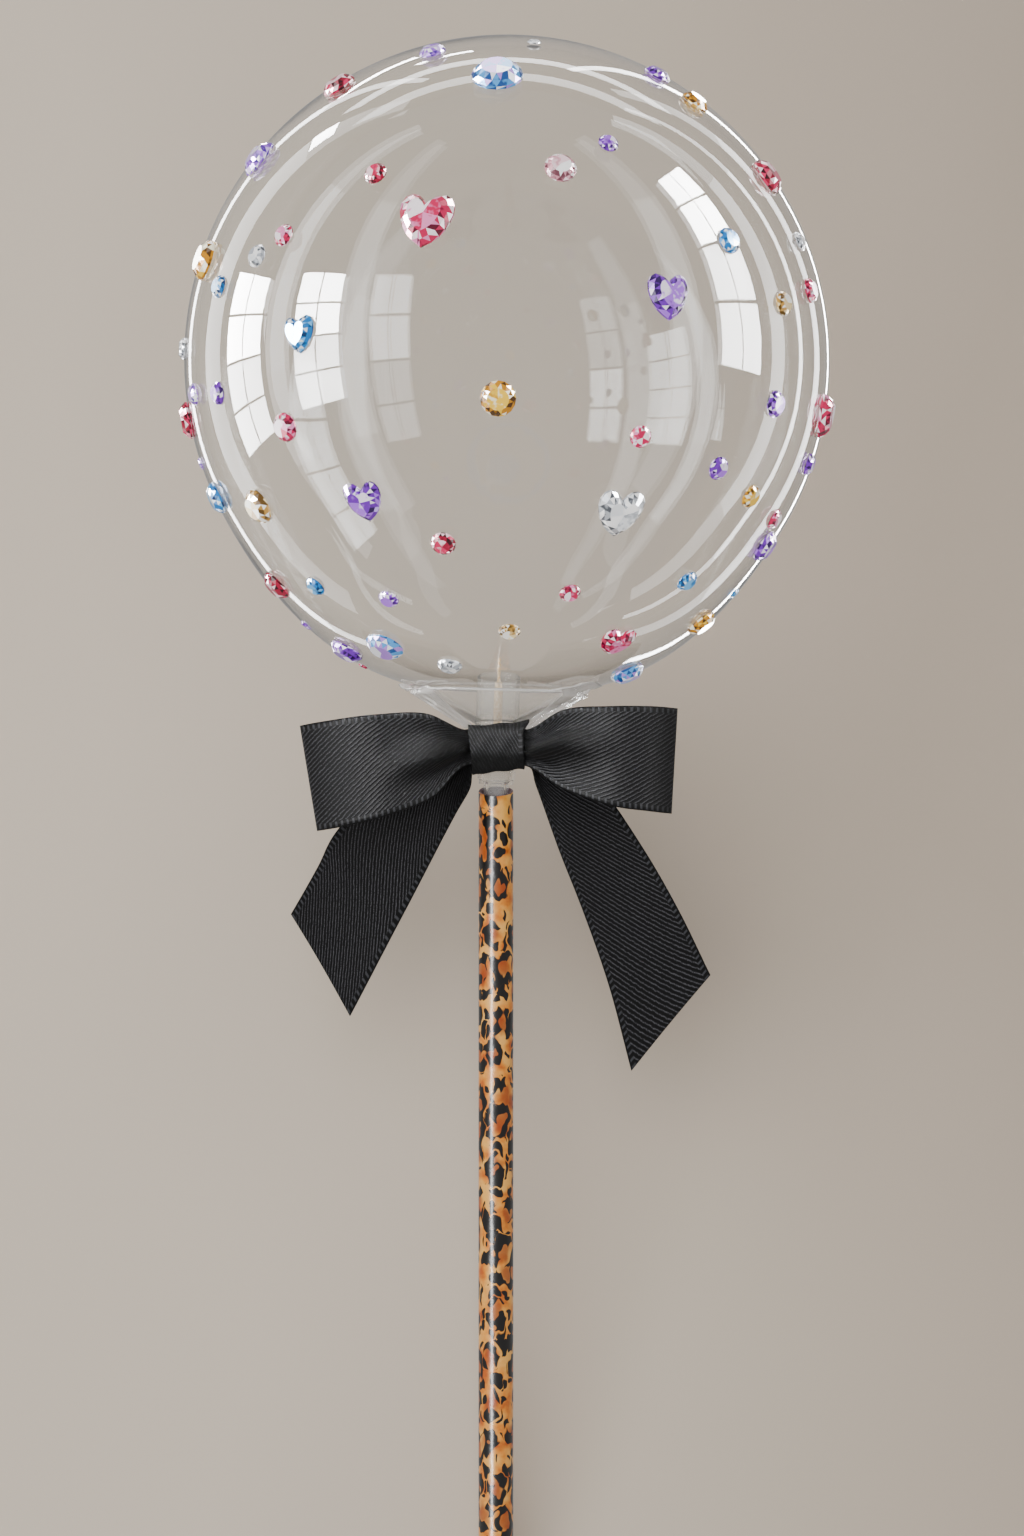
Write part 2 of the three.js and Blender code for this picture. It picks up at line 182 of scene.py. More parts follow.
def place(obj, matrix):
    """Lays a standing piece down: its place goes into its mesh."""
    obj.data.transform(obj.matrix_world)
    obj.matrix_world = Matrix.Identity(4)
    obj.data.transform(matrix)
    obj.data.update()


def finish_piece(obj, material, slot, *nodes, angle=None):
    """Shades a piece, gives it its material and ties it to the frame."""
    activate(obj)
    if angle is None:
        bpy.ops.object.shade_smooth()
    else:
        bpy.ops.object.shade_smooth_by_angle(angle=math.radians(angle))
    obj.data.materials.clear()
    obj.data.materials.append(material)
    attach(obj, "root")
    if nodes:
        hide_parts(*nodes)
    deselect()


def let_light_through(obj):
    """A clear piece dims the light behind it so little that it throws no shadow."""
    obj.visible_shadow = False
    obj.visible_diffuse = False


def turned(name, profile, steps):
    """A profile of (radius, height) in millimetres, spun round Z."""
    points = [Vector((radius * MM, 0, height * MM)) for radius, height in profile]
    obj = start("plane", name, size=MM)
    edit(obj, "VERT", lambda vertex: True)
    bpy.ops.mesh.merge(type="CENTER")
    bpy.ops.transform.translate(value=points[0])
    for before, after in zip(points, points[1:]):
        bpy.ops.mesh.extrude_region_move(TRANSFORM_OT_translate={"value": after - before})
    bpy.ops.mesh.select_all(action="SELECT")
    bpy.ops.mesh.spin(steps=steps, angle=2 * math.pi, center=(0, 0, 0), axis=(0, 0, 1))
    bpy.ops.mesh.select_all(action="SELECT")
    bpy.ops.mesh.remove_doubles(threshold=0.002 * MM)
    bpy.ops.mesh.normals_make_consistent(inside=False)
    bpy.ops.object.mode_set(mode="OBJECT")
    return obj


# ---- Materials ----

def add_node(tree, kind, inputs=None, **settings):
    """Adds a node. inputs gives its sockets, named or numbered, a value or another's output."""
    node = tree.nodes.new(kind)
    for key, value in settings.items():
        setattr(node, key, value)
    for key, value in (inputs or {}).items():
        if isinstance(value, bpy.types.NodeSocket):
            tree.links.new(value, node.inputs[key])
        else:
            node.inputs[key].default_value = value
    return node


def new_material(name, **plain):
    """A material with plain values on its shader's sockets, named with _ for each space."""
    material = bpy.data.materials.new(name)
    material.use_nodes = True
    shader = material.node_tree.nodes["Principled BSDF"]
    for key, value in plain.items():
        shader.inputs[key.replace("_", " ")].default_value = value
    return material, material.node_tree, shader


def ramp(tree, factor, stops, interpolation="LINEAR"):
    """A colour ramp from (position, hex colour) stops."""
    node = add_node(tree, "ShaderNodeValToRGB", {"Fac": factor})
    node.color_ramp.interpolation = interpolation
    while len(node.color_ramp.elements) < len(stops):
        node.color_ramp.elements.new(0.5)
    for element, (position, code) in zip(node.color_ramp.elements, stops):
        element.position = position
        element.color = linear(code)
    return node.outputs["Color"]


def maths(tree, operation, *values):
    """The result of one step of arithmetic on outputs and numbers."""
    inputs = dict(enumerate(values))
    return add_node(tree, "ShaderNodeMath", inputs, operation=operation).outputs[0]


def smooth_step(tree, value, none, full):
    """A factor that is 0 where the value is at none, and rises softly to 1 at full."""
    return add_node(tree, "ShaderNodeMapRange", {
        "Value": value, "From Min": none, "From Max": full},
        interpolation_type="SMOOTHSTEP").outputs[0]


def film_material(settings):
    """Blown TPU film: colourless and glassy, with a very slight waviness that bends reflections."""
    material, tree, shader = new_material(
        "Clear_TPU_film", Base_Color=linear(settings.film_colour), Roughness=0.0,
        IOR=1.45, Transmission_Weight=1.0)
    place_of = add_node(tree, "ShaderNodeTexCoord").outputs["Object"]
    waves = add_node(tree, "ShaderNodeTexNoise", {"Vector": place_of, "Scale": 28.0, "Detail": 1.0})
    bump = add_node(tree, "ShaderNodeBump", {
        "Height": waves.outputs["Fac"], "Strength": 0.06, "Distance": 0.002})
    tree.links.new(bump.outputs["Normal"], shader.inputs["Normal"])
    return material


def crinkled_film_material():
    """The same film gathered and creased, where fine wrinkles scatter the light and look milky."""
    material, tree, shader = new_material(
        "Gathered_TPU_film", Base_Color=linear("#FBFAF8"), IOR=1.3, Transmission_Weight=0.7)
    place_of = add_node(tree, "ShaderNodeTexCoord").outputs["Object"]
    creases = add_node(tree, "ShaderNodeTexNoise", {
        "Vector": place_of, "Scale": 420.0, "Detail": 2.0, "Roughness": 0.5})
    roughness = add_node(tree, "ShaderNodeMapRange", {
        "Value": creases.outputs["Fac"], "To Min": 0.02, "To Max": 0.14})
    bump = add_node(tree, "ShaderNodeBump", {
        "Height": creases.outputs["Fac"], "Strength": 0.2, "Distance": 0.0006})
    tree.links.new(roughness.outputs[0], shader.inputs["Roughness"])
    tree.links.new(bump.outputs["Normal"], shader.inputs["Normal"])
    return material


def moulded_clear_material():
    """Moulded clear polypropylene: glassy, a little cloudy. Its thin walls bend light little."""
    material, tree, shader = new_material(
        "Clear_moulded_polypropylene", Base_Color=linear("#FBFBF9"), IOR=1.2,
        Transmission_Weight=0.9)
    place_of = add_node(tree, "ShaderNodeTexCoord").outputs["Object"]
    haze = add_node(tree, "ShaderNodeTexNoise", {"Vector": place_of, "Scale": 220.0})
    roughness = add_node(tree, "ShaderNodeMapRange", {
        "Value": haze.outputs["Fac"], "To Min": 0.0, "To Max": 0.05})
    tree.links.new(roughness.outputs[0], shader.inputs["Roughness"])
    return material


def pin_material():
    """Turned pin of pale gold-tinted plastic: satin, with a faint grain along it."""
    material, tree, shader = new_material(
        "Gold_tinted_pin", Metallic=0.35, Roughness=0.35)
    place_of = add_node(tree, "ShaderNodeTexCoord").outputs["Object"]
    grain = add_node(tree, "ShaderNodeTexNoise", {"Vector": place_of, "Scale": 1500.0})
    tree.links.new(ramp(tree, grain.outputs["Fac"], [(0.3, "#CFA977"), (0.7, "#F0DFC4")]),
                   shader.inputs["Base Color"])
    return material


def leopard_material(settings):
    """Printed film on paper, lacquered: amber ground, burnt-orange middles, black rosettes."""
    material, tree, shader = new_material(
        "Leopard_print_lacquered_wrap", Roughness=0.28, IOR=1.5, Coat_Weight=0.35,
        Coat_Roughness=0.13)
    # The UV map is in millimetres: round the stick and along it. Rosettes are longer than wide.
    flat = add_node(tree, "ShaderNodeUVMap", uv_map="UVMap").outputs["UV"]
    drawn = add_node(tree, "ShaderNodeVectorMath", {0: flat, 1: (1, 0.68, 1)},
                     operation="MULTIPLY").outputs[0]
    wobble = add_node(tree, "ShaderNodeTexNoise", {
        "Vector": drawn, "Scale": 0.42, "Detail": 1.0}).outputs["Color"]
    shifted = add_node(tree, "ShaderNodeVectorMath", {
        0: wobble, 1: (3.2, 3.2, 0), 2: drawn}, operation="MULTIPLY_ADD").outputs[0]
    rosette = 1 / settings.rosette_spacing
    cells = add_node(tree, "ShaderNodeTexVoronoi", {
        "Vector": shifted, "Scale": rosette, "Randomness": 0.8}, voronoi_dimensions="2D")
    distance = cells.outputs["Distance"]
    chance = add_node(tree, "ShaderNodeSeparateColor", {0: cells.outputs["Color"]}).outputs[0]
    # Each rosette is a thick ring of its own size, broken where a second noise is low.
    radius = maths(tree, "MULTIPLY_ADD", chance, 0.16, 0.22)
    off_ring = maths(tree, "ABSOLUTE", maths(tree, "SUBTRACT", distance, radius))
    ring = smooth_step(tree, off_ring, 0.16, 0.13)
    gaps = add_node(tree, "ShaderNodeTexNoise", {
        "Vector": drawn, "Scale": 0.42, "Detail": 0.0}, noise_dimensions="2D").outputs["Fac"]
    broken = smooth_step(tree, gaps, 0.4, 0.44)
    # Small solid blots fill the ground between the rosettes.
    blots = add_node(tree, "ShaderNodeTexVoronoi", {
        "Vector": shifted, "Scale": rosette * 2.2, "Randomness": 0.9}, voronoi_dimensions="2D")
    blot_size = add_node(tree, "ShaderNodeSeparateColor", {0: blots.outputs["Color"]}).outputs[1]
    beyond_blot = maths(tree, "SUBTRACT", blots.outputs["Distance"],
                        maths(tree, "MULTIPLY", blot_size, 0.6))
    blot = smooth_step(tree, beyond_blot, 0.04, 0.0)
    outside = smooth_step(tree, distance, 0.44, 0.48)
    black = maths(tree, "MAXIMUM", maths(tree, "MULTIPLY", ring, broken),
                  maths(tree, "MULTIPLY", blot, outside))
    tone = add_node(tree, "ShaderNodeTexNoise", {
        "Vector": flat, "Scale": 0.22, "Detail": 3.0}).outputs["Fac"]
    ground = ramp(tree, tone, [(0.34, "#C45C0C"), (0.45, "#E88E28"), (0.6, "#F8B656")])
    inside = smooth_step(tree, distance, 0.4, 0.12)
    middle = add_node(tree, "ShaderNodeMix", {
        0: maths(tree, "MULTIPLY", inside, 0.8), 6: ground, 7: linear("#9C3C08")}, data_type="RGBA")
    print_colour = add_node(tree, "ShaderNodeMix", {
        0: black, 6: middle.outputs[2], 7: linear("#080403")}, data_type="RGBA")
    tree.links.new(print_colour.outputs[2], shader.inputs["Base Color"])
    wrap = add_node(tree, "ShaderNodeTexNoise", {"Vector": flat, "Scale": 0.35, "Detail": 2.0})
    bump = add_node(tree, "ShaderNodeBump", {
        "Height": wrap.outputs["Fac"], "Strength": 0.4, "Distance": 0.0004})
    tree.links.new(bump.outputs["Normal"], shader.inputs["Normal"])
    return material


def straw_lining_material():
    """Bare dyed paper inside the straw: matt, dark mauve, with short fibres."""
    material, tree, shader = new_material("Dyed_paper_lining", Roughness=0.8)
    place_of = add_node(tree, "ShaderNodeTexCoord").outputs["Object"]
    fibres = add_node(tree, "ShaderNodeTexNoise", {
        "Vector": place_of, "Scale": 1200.0, "Detail": 2.0}).outputs["Fac"]
    tree.links.new(ramp(tree, fibres, [(0.3, "#57424A"), (0.7, "#7A626A")]),
                   shader.inputs["Base Color"])
    return material


def ribbon_material(settings):
    """Black ribbed ribbon of polished threads: painted highlights on its slanting ribs, painted
    shade in its folds, a stitched selvedge on both edges.
    """
    material, tree, shader = new_material(
        "Black_ribbed_ribbon", Specular_IOR_Level=0.35)
    # The UV map is in millimetres: across the ribbon and along it.
    flat = add_node(tree, "ShaderNodeUVMap", uv_map="UVMap").outputs["UV"]
    drift = add_node(tree, "ShaderNodeTexNoise", {
        "Vector": flat, "Scale": 0.9, "Detail": 2.0}, noise_dimensions="2D").outputs["Color"]
    shifted = add_node(tree, "ShaderNodeVectorMath", {
        0: drift, 1: (0.35, 0.35, 0), 2: flat}, operation="MULTIPLY_ADD").outputs[0]
    # Real ribs are about 0.5 mm apart, which is too fine to show, so they are drawn wider.
    turn = 2 * math.pi / settings.rib_spacing
    slant = math.radians(settings.rib_slant)
    phase = add_node(tree, "ShaderNodeVectorMath", {
        0: shifted, 1: (turn * math.cos(slant), turn * math.sin(slant), 0)},
        operation="DOT_PRODUCT").outputs["Value"]
    rib = maths(tree, "MULTIPLY_ADD", maths(tree, "SINE", phase), 0.5, 0.5)
    # Painted highlight: the rib crests are coloured pale grey, broken into short dashes where the
    # thread runs over and under.
    dashes = add_node(tree, "ShaderNodeTexNoise", {
        "Vector": flat, "Scale": 4.0, "Detail": 1.0}, noise_dimensions="2D").outputs["Fac"]
    gleam = maths(tree, "MULTIPLY", rib, add_node(tree, "ShaderNodeMapRange", {
        "Value": dashes, "From Min": 0.25, "From Max": 0.6, "To Min": 0.7}).outputs[0])
    ribs_with_painted_gleam = ramp(tree, gleam, [(0.3, "#030304"), (0.7, "#141416"), (1.0, "#525257")])
    # Selvedges 1.3 mm wide run along both edges, with a stitch every 1.35 mm.
    parts = add_node(tree, "ShaderNodeSeparateXYZ", {0: flat})
    half = settings.width / (2 * MM)
    from_middle = maths(tree, "ABSOLUTE", maths(tree, "SUBTRACT", parts.outputs[0], half))
    from_edge = maths(tree, "SUBTRACT", half, from_middle)
    selvedge = add_node(tree, "ShaderNodeMapRange", {
        "Value": from_edge, "From Min": 1.15, "From Max": 1.45,
        "To Min": 1.0, "To Max": 0.0}).outputs[0]
    tick = maths(tree, "SINE", maths(tree, "MULTIPLY", parts.outputs[1], 2 * math.pi / 1.35))
    stitch = add_node(tree, "ShaderNodeMapRange", {
        "Value": tick, "From Min": 0.1, "From Max": 0.6}).outputs[0]
    inner = maths(tree, "GREATER_THAN", from_edge, 0.3)
    edge = ramp(tree, maths(tree, "MULTIPLY", stitch, inner), [(0.0, "#040405"), (1.0, "#3A3B3F")])
    colour = add_node(tree, "ShaderNodeMix", {0: selvedge, 6: ribs_with_painted_gleam, 7: edge}, data_type="RGBA")
    # Painted shade: the fold attribute darkens the colour towards black and makes the cloth rougher
    # in the loops' folds, on and beside the knot, on the tails near it and at the right loop's
    # outer end.
    fold = add_node(tree, "ShaderNodeAttribute", attribute_name="fold").outputs["Fac"]
    folded = add_node(tree, "ShaderNodeMix", {
        0: fold, 6: colour.outputs[2], 7: linear("#020202")}, data_type="RGBA")
    tree.links.new(folded.outputs[2], shader.inputs["Base Color"])
    tree.links.new(maths(tree, "MULTIPLY_ADD", fold, 0.55, 0.42), shader.inputs["Roughness"])
    height = add_node(tree, "ShaderNodeMix", {0: selvedge, 2: rib, 3: stitch})
    bump = add_node(tree, "ShaderNodeBump", {
        "Height": height.outputs[0], "Strength": 1.0, "Distance": 0.0001})
    tree.links.new(bump.outputs["Normal"], shader.inputs["Normal"])
    return material


# Each stone's darkest facets, its body colour, its pale facets and its glints: the body colour is
# its own, the rest are painted shade, painted reflection and painted glints.
STONE_TONES = {
    "pink": ("#5E0526", "#C4164F", "#E887B8", "#FFF2F8"),
    "crimson": ("#38000F", "#9A0631", "#D2265A", "#FFD9E2"),
    "blush": ("#6E3C48", "#CC8A98", "#F0CFD6", "#FFFFFF"),
    "lilac": ("#4A2490", "#965CD4", "#CBACF2", "#FBF8FF"),
    "purple": ("#2A064E", "#6C1FAE", "#A765E2", "#F4E8FF"),
    "blue": ("#04305E", "#0F72BC", "#66B6EE", "#F2FAFF"),
    "aurora": ("#1A4A8C", "#4C9ADC", "#AE82DA", "#F2F4FC"),
    "gold": ("#4E3000", "#C08000", "#EEC034", "#FFF8D8"),
    "champagne": ("#5E4214", "#B98C3C", "#E8D29A", "#FFFEF6"),
    "clear": ("#4E5258", "#A8ADB4", "#E4E7EB", "#FFFFFF"),
}


def stone_material(colour):
    """Cut glass with a foil back, its facets painted: each facet's tone, from dark through the body
    colour to a white glint, is painted reflection.

    The weak glow is painted light, so that the pale facets and glints show brighter than the lamps
    make them.
    """
    dark, body, light, glint = STONE_TONES[colour]
    material, tree, shader = new_material(
        f"Foiled_cut_glass_{colour}", Metallic=0.15, Roughness=0.05, IOR=1.55,
        Coat_Weight=0.5, Coat_Roughness=0.02, Emission_Strength=0.45)
    facet = add_node(tree, "ShaderNodeAttribute", attribute_name="facet").outputs["Fac"]
    place_of = add_node(tree, "ShaderNodeTexCoord").outputs["Object"]
    flaws = add_node(tree, "ShaderNodeTexNoise", {
        "Vector": place_of, "Scale": 900.0, "Detail": 1.0}).outputs["Fac"]
    tone = maths(tree, "ADD", facet, maths(tree, "MULTIPLY_ADD", flaws, 0.3, -0.15))
    stops = [(0.16, dark), (0.24, body), (0.5, body), (0.58, light), (0.74, light), (0.8, glint)]
    colour = ramp(tree, tone, stops)
    tree.links.new(colour, shader.inputs["Base Color"])
    # Painted light: the facet colour also glows weakly, brightest on the glints.
    tree.links.new(colour, shader.inputs["Emission Color"])
    return material


def floor_material(settings):
    """Matt painted board: an even greige with a faint mottle, made a little darker towards the
    right by painted shade.
    """
    material, tree, shader = new_material("Matt_greige_board", Roughness=0.85)
    place_of = add_node(tree, "ShaderNodeTexCoord").outputs["Object"]
    mottle = add_node(tree, "ShaderNodeTexNoise", {"Vector": place_of, "Scale": 3.0}).outputs["Fac"]
    across = add_node(tree, "ShaderNodeSeparateXYZ", {0: place_of}).outputs[0]
    # Painted shade: the tone falls off across X, towards the right; the mottle is the board's own.
    drift = maths(tree, "MULTIPLY_ADD", across, -3.0, mottle)
    tree.links.new(ramp(tree, drift, [(0.1, settings.floor_dark), (0.8, settings.floor_light)]),
                   shader.inputs["Base Color"])
    return material


# ---- Settings ----

class BubbleBall(bpy.types.PropertyGroup):
    wall: bpy.props.FloatProperty(
        name="Wall", description="Thickness of the film, thicker than real so that it shows",
        default=2.4 * MM, unit="LENGTH")
    film_colour: bpy.props.StringProperty(
        name="Film colour", description="Tint of the film, as a hex colour", default="#FCFDFD")
    pleats: bpy.props.IntProperty(
        name="Pleats", description="Creases in the film round the neck", default=34)


class BubbleStick(bpy.types.PropertyGroup):
    radius: bpy.props.FloatProperty(
        name="Radius", description="Outer radius of the straw", default=3.8 * MM, unit="LENGTH")
    wall: bpy.props.FloatProperty(
        name="Wall", description="Thickness of the straw's paper", default=0.8 * MM, unit="LENGTH")
    rosette_spacing: bpy.props.FloatProperty(
        name="Rosette spacing", description="Millimetres from one rosette to the next", default=5.7)


class BubbleBow(bpy.types.PropertyGroup):
    width: bpy.props.FloatProperty(
        name="Ribbon width", description="Width of the ribbon", default=22.5 * MM, unit="LENGTH")
    thickness: bpy.props.FloatProperty(
        name="Ribbon thickness", description="Thickness of the ribbon", default=0.4 * MM,
        unit="LENGTH")
    rib_spacing: bpy.props.FloatProperty(
        name="Rib spacing", description="Millimetres from one rib to the next", default=0.8)
    rib_slant: bpy.props.FloatProperty(
        name="Rib slant", description="Slant of the ribs from the ribbon's length, in degrees",
        default=32.0)


class BubbleStones(bpy.types.PropertyGroup):
    sink: bpy.props.FloatProperty(
        name="Sink", description="How far a stone's back sits in its glue", default=0.35 * MM,
        unit="LENGTH")
    seed: bpy.props.IntProperty(
        name="Seed", description="Seed of the facets' tones", default=7)


class BubbleStage(bpy.types.PropertyGroup):
    floor_dark: bpy.props.StringProperty(
        name="Floor dark", description="Darker tone of the floor", default="#B6A898")
    floor_light: bpy.props.StringProperty(
        name="Floor light", description="Lighter tone of the floor", default="#D5C8B7")
    distance: bpy.props.FloatProperty(
        name="Camera distance", description="From the camera to the stick's axis", default=0.654,
        unit="LENGTH")
    view_height: bpy.props.FloatProperty(
        name="View height", description="Height of the stick's plane that the camera sees",
        default=0.3348, unit="LENGTH")


GROUPS = {
    "bubble_ball": BubbleBall, "bubble_stick": BubbleStick, "bubble_bow": BubbleBow,
    "bubble_stones": BubbleStones, "bubble_stage": BubbleStage,
}


# ---- The ball ----

# From here on, numbers are millimetres, and heights are measured from the ball's centre.
CUP_RADIUS = (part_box("cup")[1].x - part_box("cup")[0].x) / 2 / MM
CUP_RIM = -71.4
CONE_SLOPE = 0.52
CUP_WALL = 0.79               # measured upwards
TUBE_RADIUS = 4.7
FILM_RIM = (CUP_RADIUS - 1.1, CUP_RIM - 1.1 * CONE_SLOPE + CUP_WALL + 0.34)
FLARE = math.hypot(*FILM_RIM) * MM / RADIUS - 1
FLARE_START = -30             # degrees of latitude
NECK_SHARE = 0.12             # of the film's thickness is left at the neck
THIN_FROM, THIN_TO = -38, -68
FLOOR_GAP = 0.1


def film_radius(latitude):
    """Distance of the film from the ball's centre: round, and drawn out towards the cup."""
    return RADIUS * (1 + FLARE * smooth(0, 40, FLARE_START - latitude))


class BUBBLE_OT_balloon(bpy.types.Operator):
    """Blow the film ball: a sphere drawn out to a neck, pressed flat where it lies"""
    bl_idname = "bubble.balloon"
    bl_label = "Balloon"

    def execute(self, context):
        sizes = context.scene.bubble_ball
        ball = start("uv_sphere", "balloon_film", segments=144, ring_count=96, radius=RADIUS)
        for vertex in ball.data.vertices:
            latitude = math.degrees(math.asin(max(-1, min(1, vertex.co.z / RADIUS))))
            vertex.co *= film_radius(latitude) / RADIUS
        self.draw_neck(ball)
        wall = ball.vertex_groups.new(name="Wall")
        for vertex in ball.data.vertices:
            share = smooth(THIN_TO, THIN_FROM, vertex.co.z / MM)
            wall.add([vertex.index], NECK_SHARE + (1 - NECK_SHARE) * share, "REPLACE")
        place(ball, HEAD_MATRIX)
        for vertex in ball.data.vertices:
            vertex.co.z = max(vertex.co.z, FLOOR_GAP * MM)
        modify(ball, "SOLIDIFY", thickness=sizes.wall, offset=-1, use_even_offset=True,
               vertex_group=wall.name)
        finish_piece(ball, film_material(sizes), "film", "balloon", angle=30)
        let_light_through(ball)
        return {"FINISHED"}

    def draw_neck(self, ball):
        """Opens the ball's lower pole and tucks the film's edge over the cup's rim."""
        rim_height = FILM_RIM[1] * MM
        edit(ball, "VERT", lambda vertex: vertex.co.z < rim_height)
        bpy.ops.mesh.delete(type="VERT")
        bpy.ops.mesh.select_non_manifold()
        for inward in (0, 0.35):
            bpy.ops.mesh.extrude_region_move()
            bpy.ops.object.mode_set(mode="OBJECT")
            radius = FILM_RIM[0] - inward
            height = FILM_RIM[1] - inward * CONE_SLOPE
            for vertex in (v for v in ball.data.vertices if v.select):
                around = Vector((vertex.co.x, vertex.co.y, 0)).normalized()
                vertex.co = (around * radius + Vector((0, 0, height))) * MM
            bpy.ops.object.mode_set(mode="EDIT")
        bpy.ops.object.mode_set(mode="OBJECT")


# ---- The cup and the pin ----

STEM_WEB = -85.0              # top of the web that closes the tube
STEM_RADIUS = 3.75
SHOULDER = local_z(MOUTH) / MM + 1.4
TUBE_SLANT = 1.35             # half of what the mouth of the tube falls from back to front


class BUBBLE_OT_cup(bpy.types.Operator):
    """Mould the clear cup with its tube, stem and plug, and stand the pin in it"""
    bl_idname = "bubble.cup"
    bl_label = "Cup and pin"

    def execute(self, context):
        cup = turned("clear_cup", self.profile(), 96)
        modify(cup, "BEVEL", width=0.12 * MM, segments=2, limit_method="ANGLE",
               angle_limit=math.radians(40))
        self.slant_tube(cup)
        place(cup, HEAD_MATRIX)
        finish_piece(cup, moulded_clear_material(), "clear_plastic", "cup", angle=25)
        let_light_through(cup)
        pin = turned("neck_pin", [
            (0, STEM_WEB), (0.98, STEM_WEB), (1.0, -76), (0.95, -70.2), (0.75, -69.4),
            (0.36, -68.9), (0.3, -67.5), (0.38, -67.1), (0.3, -66.7), (0.36, -65.2),
            (0.28, -64.6), (0.33, -63.7), (0.2, -63.25), (0, -63.2)], 20)
        place(pin, HEAD_MATRIX)
        finish_piece(pin, pin_material(), "pin", "pin", angle=40)
        return {"FINISHED"}

    def slant_tube(self, cup):
        """The film pulls the tube's mouth down at the front, so that it shows as an oval."""
        for vertex in cup.data.vertices:
            if vertex.co.z > (CUP_RIM + 4) * MM:
                vertex.co.z += TUBE_SLANT * (vertex.co.y / TUBE_RADIUS - MM)

    def profile(self):
        """The moulding from the web up the tube, out to the rim and down the stem."""
        def cone(radius):
            return CUP_RIM - (CUP_RADIUS - radius) * CONE_SLOPE

        lip = CUP_RADIUS - 0.4
        return [
            (0, STEM_WEB), (3.9, STEM_WEB), (3.9, -66.9), (4.05, -66.7), (4.55, -66.7),
            (TUBE_RADIUS, -66.9), (TUBE_RADIUS, cone(TUBE_RADIUS) + CUP_WALL + 0.4),
            (TUBE_RADIUS + 0.4, cone(TUBE_RADIUS + 0.4) + CUP_WALL),
            (lip - 0.2, cone(lip - 0.2) + CUP_WALL), (lip + 0.1, CUP_RIM + 0.45),
            (CUP_RADIUS, CUP_RIM + 0.1), (CUP_RADIUS - 0.1, CUP_RIM - 0.1),
            (TUBE_RADIUS + 0.3, cone(TUBE_RADIUS + 0.3)), (TUBE_RADIUS, cone(TUBE_RADIUS) - 0.3),
            (TUBE_RADIUS, STEM_WEB - 0.8), (STEM_RADIUS, STEM_WEB - 1.4),
            (STEM_RADIUS, -88.5), (4.1, -88.7), (4.1, -90.2), (STEM_RADIUS, -90.4),
            (STEM_RADIUS, SHOULDER), (2.7, SHOULDER), (2.7, SHOULDER - 6),
            (1.9, SHOULDER - 6), (1.9, SHOULDER), (2.75, SHOULDER + 1),
            (2.75, STEM_WEB - 0.8), (0, STEM_WEB - 0.8),
        ]


# ---- The stick ----

class BUBBLE_OT_stick(bpy.types.Operator):
    """Roll the paper straw, cut its mouth slanting and wrap it in the printed film"""
    bl_idname = "bubble.stick"
    bl_label = "Stick"

    def execute(self, context):
        sizes = context.scene.bubble_stick
        mouth, end = local_z(MOUTH), local_z(STICK_END)
        length = mouth - end
        stick = start("cylinder", "leopard_straw", vertices=96, radius=sizes.radius, depth=length,
                      end_fill_type="NOTHING", location=(0, 0, (mouth + end) / 2))
        place(stick, Matrix.Identity(4))
        self.slant_mouth(stick, sizes, mouth)
        self.map_wrap(stick, sizes)
        modify(stick, "SOLIDIFY", thickness=sizes.wall, offset=-1, use_even_offset=True)
        modify(stick, "BEVEL", width=0.12 * MM, segments=2, limit_method="ANGLE",
               angle_limit=math.radians(50))
        inside = sizes.radius - 0.3 * MM
        lining = [face.index for face in stick.data.polygons if face.center.xy.length < inside]
        place(stick, STICK_MATRIX)
        finish_piece(stick, leopard_material(sizes), "stick", "stick", angle=25)
        stick.data.materials.append(straw_lining_material())
        for index in lining:
            stick.data.polygons[index].material_index = 1
        return {"FINISHED"}

    def slant_mouth(self, stick, sizes, mouth):
        """Lowers the front of the mouth, so that the lining shows from the front."""
        slant = 2.2 * MM
        for vertex in stick.data.vertices:
            if vertex.co.z > mouth - MM:
                vertex.co.z -= slant / 2 * vertex.co.y / -sizes.radius

    def map_wrap(self, stick, sizes):
        """UVs in millimetres, with the wrap's seam at the back."""
        layer = stick.data.uv_layers.active or stick.data.uv_layers.new(name="UVMap")
        layer.name = "UVMap"
        for polygon in stick.data.polygons:
            middle = polygon.center
            middle_turn = math.atan2(middle.x, -middle.y)
            for index in polygon.loop_indices:
                corner = stick.data.vertices[stick.data.loops[index].vertex_index].co
                turn = math.atan2(corner.x, -corner.y)
                turn += 2 * math.pi * round((middle_turn - turn) / (2 * math.pi))
                layer.data[index].uv = (turn * sizes.radius / MM, corner.z / MM)


# ---- The bow ----

def curve_point(points, place_on, closed):
    """A point on the smooth curve through the points, as a Catmull-Rom spline."""
    count = len(points)
    spans = count if closed else count - 1
    position = place_on * spans
    index = min(int(position), spans - 1)
    share = position - index
    around = [index + i if closed else max(0, min(index + i, count - 1)) for i in (-1, 0, 1, 2)]
    before, first, second, after = (Vector(points[i % count]) for i in around)
    if not closed and index == 0:
        before = first * 2 - second
    if not closed and index == spans - 1:
        after = second * 2 - first
    return 0.5 * (2 * first + (second - before) * share
                  + (2 * before - 5 * first + 4 * second - after) * share ** 2
                  + (3 * first - before - 3 * second + after) * share ** 3)


